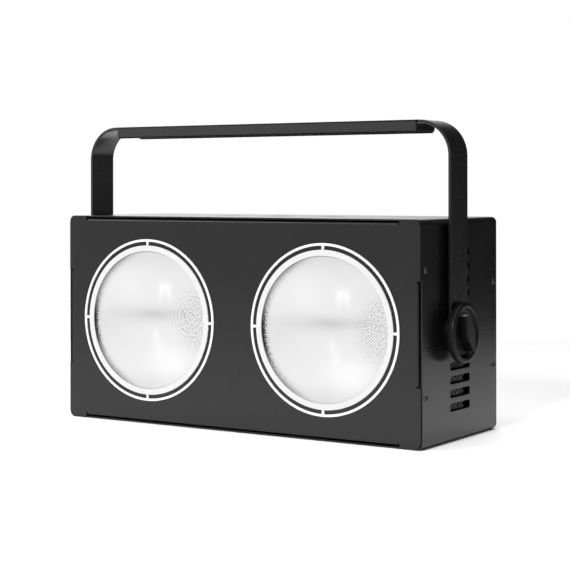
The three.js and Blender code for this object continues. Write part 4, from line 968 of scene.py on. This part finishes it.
def addPanelScrew(bm, x, z, base, radius, height):
    # A domed head on a face that looks back
    p = panelScrew
    crown, top, shoulder = radius * p["crown"], base + height, base + height * p["shoulder"]
    addCrown(bm, "xz", x, z, radius / 3, crown, top, shoulder, 24)
    profile = [(crown, top), (radius * p["dome"][0], base + height * p["dome"][1]), (radius, shoulder), (radius, base),
               (0, base)]
    addLathe(bm, profile, "y", (x, 0, z), 24)


def buildSideScrews(name, side):
    inner, outer, rise, turn = screwRing.values()
    ring = [(inner, 0), (outer, 0), (outer, rise - turn), (outer - turn, rise), (inner, rise)]
    for spot, (y, z) in screwPlaces.items():
        bm = bmesh.new()
        addSideScrew(bm, side, y, z)
        publish(f"side_screw_{name}_{spot}", bm, "zinc_steel", stands=[f"screw_{name}_{spot}"], smooth=40,
                finish=darkScrew)
        # A thin ring round the head's foot, painted pale in specks: a painted highlight of the head's rim
        bm = bmesh.new()
        addSideLathe(bm, side, [(radius, halfWidth + out) for radius, out in ring], y, z, 32, closed=True)
        publish(f"side_screw_ring_{name}_{spot}", bm, "zinc_steel", smooth=40, finish=ringHighlightFinish)


# Yoke: a flat strap bent to a U, its top bar folded into a channel
strap = {"width": 35, "thickness": 3, "outer": 215.7, "top": 303, "bend": 34, "bendSteps": 20, "edge": 0.5,
         "bore": 4.3, "footSteps": 24}
channel = {"width": 39, "depth": 12, "sheet": 2.5, "left": 177.3, "right": 179.8, "fold": 1.7, "corner": 3,
           "lip": 1.2, "tuck": 0.05, "drop": 0.02}
channelLow = strap["top"] - channel["depth"]
clampHoles = [(0, 6.5), (-50, 5.25), (50, 5.25)]  # place across and radius
# The channel's coat is painted dark along its folds and lips, as painted shade
foldedCoat = powderCoat("foldedCoat", yokeLook, {
    "above": (strap["top"] - 1.9, strap["top"] - 1.2), "below": (channelLow + 1.8, channelLow + 1.0)})


def addStrap(bm):
    outer, top, bend, half = strap["outer"], strap["top"], strap["bend"], strap["width"] / 2
    reach = outer - bend
    for side in sides.values():
        foot = arc(pivotY, pivotZ, half, 0.5, 1, strap["footSteps"])
        leg = foot + [(pivotY + half, top - bend), (pivotY - half, top - bend)]
        addFlat(bm, [leg, circle(strap["bore"], pivotY, pivotZ, 32)], "yz", side * outer)
        curve = arc(reach, top - bend, bend, 0, 0.25, strap["bendSteps"])
        addGrid(bm, [[(side * x, y, z) for x, z in curve] for y in (pivotY - half, pivotY + half)])
    holes = [circle(radius, x, pivotY, 40) for x, radius in clampHoles]
    addFlat(bm, [rectangle(-reach, pivotY - half, reach, pivotY + half)] + holes, "xy", top)


def channelSection(level):
    # Section of the fold above a level: down the outer face, round the lip, up the inner face
    half, top, fold = channel["width"] / 2, strap["top"], channel["fold"]
    sheet, lip = channel["sheet"], channel["lip"]
    outerFace = [(strap["width"] / 2 - channel["tuck"], top - channel["drop"])]
    outerFace += arc(half - fold, top - fold, fold, 0.25, 0, 6)
    lips = arc(half - lip, level + lip, lip, 0, -0.25, 4) + arc(half - sheet + lip, level + lip, lip, -0.25, -0.5, 4)
    return outerFace + lips + [(half - sheet, top - sheet)]


def addChannel(bm):
    # Each flange leaves the strap's edge, turns down and ends in rounded lower corners
    corner = channel["corner"]
    left, right = [arc(channel[end] - corner, channelLow + corner, corner, 0, -0.25, 6) for end in ("left", "right")]
    stations = [(-x, z) for x, z in left] + right[::-1]
    for side in sides.values():
        rows = [[(x, pivotY + side * w, h) for w, h in channelSection(level)] for x, level in stations]
        addGrid(bm, rows, closedColumns=True, ends=(0, -1))


def buildYoke():
    bm = bmesh.new()
    addStrap(bm)
    publish("yoke_strap", bm, "yoke_coat", "yoke", ["yoke"], bevel=strap["edge"], thickness=strap["thickness"])
    bm = bmesh.new()
    addChannel(bm)
    publish("yoke_channel", bm, "yoke_coat", "yoke", finish=foldedCoat)


# Knobs and washers; the grip's rounding gives heights, as shares, and how far its outline has drawn in there
knob = {
    "back": 216.0, "hub": 12, "rimBack": 216.9, "radius": 28.5, "face": 223.6, "recess": 23.5, "floor": 219.0,
    "edge": 1.4, "rimRound": 2.4, "lipRound": 2.3, "dishRound": 2.5, "dishSlope": 2, "bore": 4.3, "boreDepth": 5,
    "steps": 96, "gripLength": 37.6, "gripWidth": 15.6, "gripTop": 228.6, "gripRoot": 1, "blunt": 1.9,
    "hubEdge": 0.3, "hubFillet": 0.2, "tipRound": 0.5, "sideRound": 3, "sideDraw": 0.8, "tipDraw": 0.3,
    "gripRounding": ((0, 0), (0.8, 0.08), (0.89, 0.3), (0.95, 0.65), (1, 1.2)),
}
washer = {"inner": 4.3, "outer": 18, "back": 208, "front": 212.4, "edge": 0.7, "boreEdge": 0.2, "backEdge": 0.3}


def addGrip(bm, side):
    # A diamond-shaped bar with blunt tips stands on the dish's floor, its top edges rounded over
    k = knob
    base = k["floor"] - k["gripRoot"]
    c, s = cos(gripTurn), sin(gripTurn)
    rows = []
    for share, inset in k["gripRounding"]:
        half, wide = k["gripLength"] / 2 - inset, k["gripWidth"] / 2 - inset * k["sideDraw"]
        tip, turn = k["blunt"] - inset * k["tipDraw"], k["tipRound"]
        outline = rounded([(tip, half, turn), (-tip, half, turn), (-wide, 0, k["sideRound"]), (-tip, -half, turn),
                           (tip, -half, turn), (wide, 0, k["sideRound"])], 1, 5)
        x = side * (base + (k["gripTop"] - base) * share)
        rows.append([(x, pivotY + u * c - v * s, pivotZ + u * s + v * c) for u, v in outline])
    addGrid(bm, rows, closedColumns=True, ends=(0, -1))


def buildKnob(name, side):
    k = knob
    bm = bmesh.new()
    profile = rounded([
        (0, k["back"] + k["boreDepth"], 0), (k["bore"], k["back"] + k["boreDepth"], 0),
        (k["bore"], k["back"], k["hubEdge"]), (k["hub"], k["back"], k["hubEdge"]),
        (k["hub"], k["rimBack"], k["hubFillet"]), (k["radius"], k["rimBack"], k["edge"]),
        (k["radius"], k["face"], k["rimRound"]), (k["recess"], k["face"], k["lipRound"]),
        (k["recess"] - k["dishSlope"], k["floor"], k["dishRound"]), (0, k["floor"], 0)], 1, 6, closed=False)
    addSideLathe(bm, side, profile, pivotY, pivotZ, k["steps"])
    addGrip(bm, side)
    publish(f"clamp_knob_{name}", bm, "knob_plastic", f"knob_{name}", [f"knob_{name}"], smooth=40)


def buildWasher(name, side):
    w = washer
    profile = rounded([(w["inner"], w["back"], w["boreEdge"]), (w["outer"], w["back"]),
                       (w["outer"], w["front"], w["edge"]), (w["inner"], w["front"])], w["backEdge"], 4)
    bm = bmesh.new()
    addSideLathe(bm, side, profile, pivotY, pivotZ, 72, closed=True)
    publish(f"friction_washer_{name}", bm, "washer_plastic", stands=[f"pivot_washer_{name}"], smooth=40)


# Rear panel with its grilles, and what is mounted in it; all of it faces +Y
panel = {
    "inset": 1, "corner": 6.5, "edge": 0.35, "sheet": 1.5, "grilleRadius": 42, "grilleSlots": 7, "grilleSlot": 6,
    "signalHole": 11.8, "mainsHole": (28.6, 20.4), "fuseHole": 8.3, "windowGap": 0.3, "buttonHole": 3.6,
    "fanScrewPitch": 82.5, "fanScrew": (2.9, 1.3), "tab": (14.2, 13), "tabCorner": 2, "tabSetback": 8.4,
    "tabGap": 0.9, "tabHalf": 0.6,
}
lift = 0.02  # keeps flanges off the panel's face


def placeOf(node):
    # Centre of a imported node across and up, in millimetres
    low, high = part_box(node)
    return (low[0] + high[0]) / 2 / mm, (low[2] + high[2]) / 2 / mm


def grilleLoops(x):
    radius, count = panel["grilleRadius"], panel["grilleSlots"]
    return [stadium(2 * sqrt(radius ** 2 - rise ** 2), panel["grilleSlot"], x, middle + rise)
            for rise in evenly(count, 2 * radius / count)]


def buildRearPanel():
    p = panel
    loops = [roundedBox(box["width"] - 2 * p["inset"], box["height"] - 2 * p["inset"], p["corner"], 0, middle, 8)]
    for side in sides.values():
        loops += grilleLoops(side * eyeX)
    loops += [circle(p["signalHole"], *placeOf(f"dmx_{way}_socket")) for way in ("in", "out")]
    loops += [roundedBox(*p["mainsHole"], 1, *placeOf(f"power_{way}_socket"), 2) for way in ("in", "out")]
    loops.append(circle(p["fuseHole"], *placeOf("fuse_holder")))
    loops.append(roundedBox(window["width"] + 2 * p["windowGap"], window["height"] + 2 * p["windowGap"], 0.8,
                            *placeOf("display_window"), 3))
    loops += [circle(p["buttonHole"], *placeOf(f"menu_button_{i}"), 24) for i in range(1, 5)]
    bm = bmesh.new()
    addSheet(bm, loops, "xz", rear - p["sheet"], rear)
    for side in sides.values():
        for z in (middle + screws["rearRise"], middle - screws["rearRise"]):
            x = side * (halfWidth - box["sheet"] - p["tabGap"])
            tab = roundedBox(*p["tab"], p["tabCorner"], rear - p["tabSetback"], z, 3)
            hole = circle(screws["hole"], rear - screws["setback"], z, 16)
            addSheet(bm, [tab, hole], "yz", x - p["tabHalf"], x + p["tabHalf"])
    publish("rear_sheet", bm, "black_coat", stands=["rear_panel"], bevel=p["edge"])
    bm = bmesh.new()
    for side in sides.values():
        for u in evenly(2, p["fanScrewPitch"]):
            for v in evenly(2, p["fanScrewPitch"]):
                addPanelScrew(bm, side * eyeX + u, middle + v, rear, *p["fanScrew"])
    publish("fan_screws", bm, "zinc_steel", smooth=40, finish=darkScrew)


window = {"width": 40, "height": 16, "corner": 0.6, "face": 79.4, "depth": 11.4, "block": 0.35, "frame": 0.4,
          "screenWidth": 33, "screenHeight": 10.5, "screenMargin": 2, "screen": (0.5, 0.25)}


def buildDisplay():
    # A dark block, with a raised frame round a blue-grey screen
    x, z = placeOf("display_window")
    w = window
    face, margin = w["face"], w["screenMargin"]
    block = roundedBox(w["width"], w["height"], w["corner"], x, z, 3)
    opening = roundedBox(w["screenWidth"] + margin, w["screenHeight"] + margin, 0.8, x, z, 3)
    screen = roundedBox(w["screenWidth"], w["screenHeight"], 0.3, x, z, 2)
    sheetPiece("window_block", "display_plastic", [([block], face - w["depth"], face - w["block"])],
               stands=["display_window"], bevel=0.2)
    sheetPiece("window_frame", "display_plastic", [([block, opening], face - w["frame"], face)], bevel=0.12)
    sheetPiece("window_screen", "display_plastic", [([screen], face - w["screen"][0], face - w["screen"][1])],
               finish=screenFinish)


button = {"radius": 3.3, "collar": 4.6, "collarBack": 77, "collarFront": 78.2, "top": 82.2, "round": 0.9,
          "dish": (0.45, 0.18, 0.25)}


def buildButton(index):
    # The cap is dished: a share of its radius, the depth there and in the middle
    node = f"menu_button_{index}"
    b = button
    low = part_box(node)[0][1] / mm
    share, shallow, deep = b["dish"]
    profile = [(0, low), (b["radius"], low), (b["radius"], b["collarBack"]), (b["collar"], b["collarBack"]),
               (b["collar"], b["collarFront"]), (b["radius"], b["collarFront"])]
    profile += arc(b["radius"] - b["round"], b["top"] - b["round"], b["round"], 0, 0.25, 5)
    profile += [(b["radius"] * share, b["top"] - shallow), (0, b["top"] - deep)]
    lathePiece(f"button_cap_{index}", "button_plastic", profile, *placeOf(node), 36, body=node, stands=[node],
               smooth=40)


# The release tab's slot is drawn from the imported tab; a contact is a list of radii and depths
signal = {
    "width": 26, "height": 31, "corner": 3, "face": 82, "barrel": 11.5, "back": 60, "cavity": 9.3, "floor": 70,
    "lip": 0.3, "pinCircle": 4.6, "insert": 7, "insertFace": 81, "contactHole": 1.5, "slot": (7.6, 4.3, 0.3),
    "slotDrop": 0.35, "sleeve": [(0, 70), (1.35, 70), (1.35, 78.5), (0.9, 79), (0.9, 73), (0, 73)],
    "pin": [(0, 69), (1.2, 69), (1.2, 79), (0.8, 79.8), (0, 80)], "screwAcross": 9.6, "screwUp": 12,
    "screw": (1.8, 0.8), "skin": 0.05, "shoulder": (1.7, 2.1),
}


def buildSignalSocket(node, outgoing):
    x, z = placeOf(node)
    g = signal
    face, cavity, mouth = g["face"], g["cavity"], g["cavity"] + g["lip"]
    pins = [(x + g["pinCircle"] * c, z + g["pinCircle"] * s) for c, s in ((-1, 0), (0, -1), (1, 0))]
    loops = [roundedBox(g["width"], g["height"], g["corner"], x, z, 5), circle(mouth, x, z, 48)]
    if outgoing:
        latchX, latchZ = placeOf("dmx_out_latch")
        loops.append(roundedBox(*g["slot"], latchX, latchZ - g["slotDrop"], 2))
    bm = bmesh.new()
    addSheet(bm, loops, "xz", rear + lift, face)
    barrel = [(0, g["floor"]), (cavity, g["floor"]), (cavity, face - g["lip"]), (mouth, face - g["skin"]),
              (mouth + g["skin"], face - g["shoulder"][0]), (g["barrel"], face - g["shoulder"][1]),
              (g["barrel"], g["back"]), (0, g["back"])]
    addLathe(bm, barrel, "y", (x, 0, z), 48)
    if outgoing:
        insert = [circle(g["insert"], x, z, 36)] + [circle(g["contactHole"], u, v, 16) for u, v in pins]
        addSheet(bm, insert, "xz", g["floor"] - 1, g["insertFace"])
    publish(f"{node}_shell", bm, "socket_plastic", stands=[node], bevel=0.25)
    bm = bmesh.new()
    for u, v in pins:
        addLathe(bm, g["sleeve" if outgoing else "pin"], "y", (u, 0, v), 16)
    publish(f"{node}_contacts", bm, "socket_plastic", smooth=40, finish=goldFinish)
    bm = bmesh.new()
    for way in (1, -1):
        addPanelScrew(bm, x + way * g["screwAcross"], z - way * g["screwUp"], face, *g["screw"])
    publish(f"{node}_screws", bm, "zinc_steel", smooth=40)


latch = {"tab": (7, 2.8, 0.7), "rise": 0.1, "levels": (80.6, 83.7), "grip": (5.4, 0.35, 0.1), "grips": 3,
         "gripPitch": 0.8, "gripLevels": (83.6, 84)}


def buildLatch():
    x, z = placeOf("dmx_out_latch")
    z += latch["rise"]
    layers = [([roundedBox(*latch["tab"], x, z, 4)], *latch["levels"])]
    layers += [([roundedBox(*latch["grip"], x, z + level, 1)], *latch["gripLevels"])
               for level in evenly(latch["grips"], latch["gripPitch"])]
    sheetPiece("release_tab", "zinc_steel", layers, body="dmx_out_latch", stands=["dmx_out_latch"], bevel=0.25)


mains = {
    "flange": (32, 25, 2), "face": 82.5, "cavity": (24.4, 16.2), "chamfer": 4.5, "wall": 1.8, "overlap": 0.1,
    "floor": 68.5, "back": 65.5, "blade": (2, 4, 0.3), "bladeSpacing": 14, "earthRise": 4, "plugGap": 2.4,
    "round": 0.8, "bladeTip": 79.5, "contactTip": 76,
}


def mainsOutline(x, z, grow):
    half, high, cut = mains["cavity"][0] / 2 + grow, mains["cavity"][1] / 2 + grow, mains["chamfer"]
    return rounded([(x - half, z - high), (x + half, z - high), (x + half, z + high - cut), (x + half - cut, z + high),
                    (x - half + cut, z + high), (x - half, z + high - cut)], mains["round"], 3)


def buildMainsSocket(node, outgoing):
    x, z = placeOf(node)
    m = mains
    half, low = m["bladeSpacing"] / 2, m["floor"] - m["overlap"]
    blades = [roundedBox(*m["blade"], x + u, z + v, 2) for u, v in ((-half, 0), (half, 0), (0, m["earthRise"]))]
    cavity, wall = mainsOutline(x, z, 0), mainsOutline(x, z, m["wall"])
    layers = [([roundedBox(*m["flange"], x, z, 4), cavity], rear + lift, m["face"]),
              ([wall, cavity], low, rear + m["overlap"]), ([wall], m["back"], m["floor"])]
    if outgoing:
        layers.append(([mainsOutline(x, z, -m["plugGap"])] + blades, low, m["face"] - lift))
    sheetPiece(f"{node}_shell", "socket_plastic", layers, stands=[node], bevel=0.3)
    tip = m["contactTip"] if outgoing else m["bladeTip"]
    sheetPiece(f"{node}_blades", "zinc_steel", [([blade], m["floor"] - 1, tip) for blade in blades], bevel=0.2)


fuse = {"flange": 9.5, "barrel": 8, "face": 82, "back": 56, "bore": 6.7, "boreGap": 0.3, "cap": 6.4, "capTop": 87,
        "capBack": 75, "capRound": 0.6, "ribs": 36, "ribDepth": 0.22, "ribStart": (0.4, 0.6), "slot": (10.6, 1.6, 0.3),
        "slotDepth": 1.4, "rounds": (0.3, 0.8, 0.1, 0.5)}


def buildFuse():
    # A socket, and a cap with a ribbed edge and a screwdriver slot
    x, z = placeOf("fuse_holder")
    u = fuse
    floor, face, panelFace = u["capBack"] - u["boreGap"], u["face"], rear + lift
    mouth, edge, foot, back = u["rounds"]
    profile = rounded([(u["bore"], floor, 0), (u["bore"], face, mouth), (u["flange"], face, edge),
                       (u["flange"], panelFace, foot), (u["barrel"], panelFace, foot), (u["barrel"], u["back"], back),
                       (0, u["back"], 0), (0, floor, 0)], 0, 4)
    lathePiece("fuse_socket", "socket_plastic", profile, x, z, 48, closed=True, stands=["fuse_holder"], smooth=40)
    cap, top, turn = u["cap"], u["capTop"], u["capRound"]
    steps = u["ribs"] * 4
    rows = []
    for radius, y, ribbed in ((cap, u["capBack"], 0), (cap, face + u["ribStart"][0], 0),
                              (cap, face + u["ribStart"][1], 1), (cap, top - turn, 1), (cap - turn, top, 0)):
        radii = [radius - u["ribDepth"] * ribbed * (0.5 - 0.5 * cos(a * u["ribs"])) for a in angles(steps)]
        rows.append(rim(x, y, z, radii, steps))
    bm = bmesh.new()
    addGrid(bm, rows, closedColumns=True, ends=[0])
    slot = roundedBox(*u["slot"], x, z, 2)
    addFlat(bm, [[(px, pz) for px, _, pz in rows[-1]], slot], "xz", top)
    addFlat(bm, [slot], "xz", top - u["slotDepth"])
    addWall(bm, slot, "xz", top - u["slotDepth"], top)
    publish("fuse_knob", bm, "socket_plastic", "fuse_cap", ["fuse_cap"])


eye = {"wire": 2.5, "radius": 13, "reach": 8, "foot": 5, "footHeight": 2, "start": 0.05}


def buildSafetyEye():
    # Two straight legs and a half turn of wire, with a collar round each foot
    x, z = placeOf("safety_eye")
    legs = [rear + eye["start"] + eye["reach"] * i / 4 for i in range(4)]
    path = [(x + eye["radius"], y, z) for y in legs]
    path += [(x + u, y, z) for u, y in arc(0, rear + eye["reach"], eye["radius"], 0, 0.5, 36)]
    path += [(x - eye["radius"], y, z) for y in legs[::-1]]
    bm = bmesh.new()
    addTube(bm, path, eye["wire"], 16)
    top, foot = rear + eye["footHeight"], rear + lift
    collar = rounded([(0, top), (eye["foot"], top, 0.6), (eye["foot"], foot), (0, foot)], 0.2, 4, closed=False)
    for side in sides.values():
        addLathe(bm, collar, "y", (x + side * eye["radius"], 0, z), 32)
    publish("safety_loop", bm, "zinc_steel", stands=["safety_eye"], smooth=45)


buildHousing()
buildFrontPlate()
for name, side in sides.items():
    for build in (buildRings, buildLens, buildSealAndClamp, buildBowl, buildEmitter):
        build(name, side * eyeX)
    for build in (buildSideMesh, buildSideScrews, buildKnob, buildWasher):
        build(name, side)
buildYoke()
print("front, sides and yoke dressed")
buildRearPanel()
buildDisplay()
for index in range(1, 5):
    buildButton(index)
for node, outgoing in (("dmx_in_socket", False), ("dmx_out_socket", True)):
    buildSignalSocket(node, outgoing)
buildLatch()
for node, outgoing in (("power_in_socket", False), ("power_out_socket", True)):
    buildMainsSocket(node, outgoing)
buildFuse()
buildSafetyEye()
print("rear dressed")


# Solids that keep their shape get their finish
keptSlots = {
    "led_driver": "bare_aluminium", "control_board": "circuit_board", "heat_sink": "bare_aluminium",
    "fan_frame": "fan_plastic", "fan_rotor": "fan_plastic", "pivot_bush": "zinc_steel", "clamp_stud": "zinc_steel",
}
for nodeName, item in frame["nodes"].items():
    for start, slot in keptSlots.items():
        if nodeName.startswith(start):
            item.data.materials.clear()
            item.data.materials.append(finishes[slot])

# The key box leaves out the pieces whose flat tops would mirror it as a white glare from behind
unlit = bpy.data.collections.new("unlitByKey")
for index, name in enumerate(["housing_tube", "yoke_strap"]):
    unlit.objects.link(bpy.data.objects[name])
    unlit.collection_objects[index].light_linking.link_state = "EXCLUDE"
bpy.data.objects["keyBox"].light_linking.receiver_collection = unlit
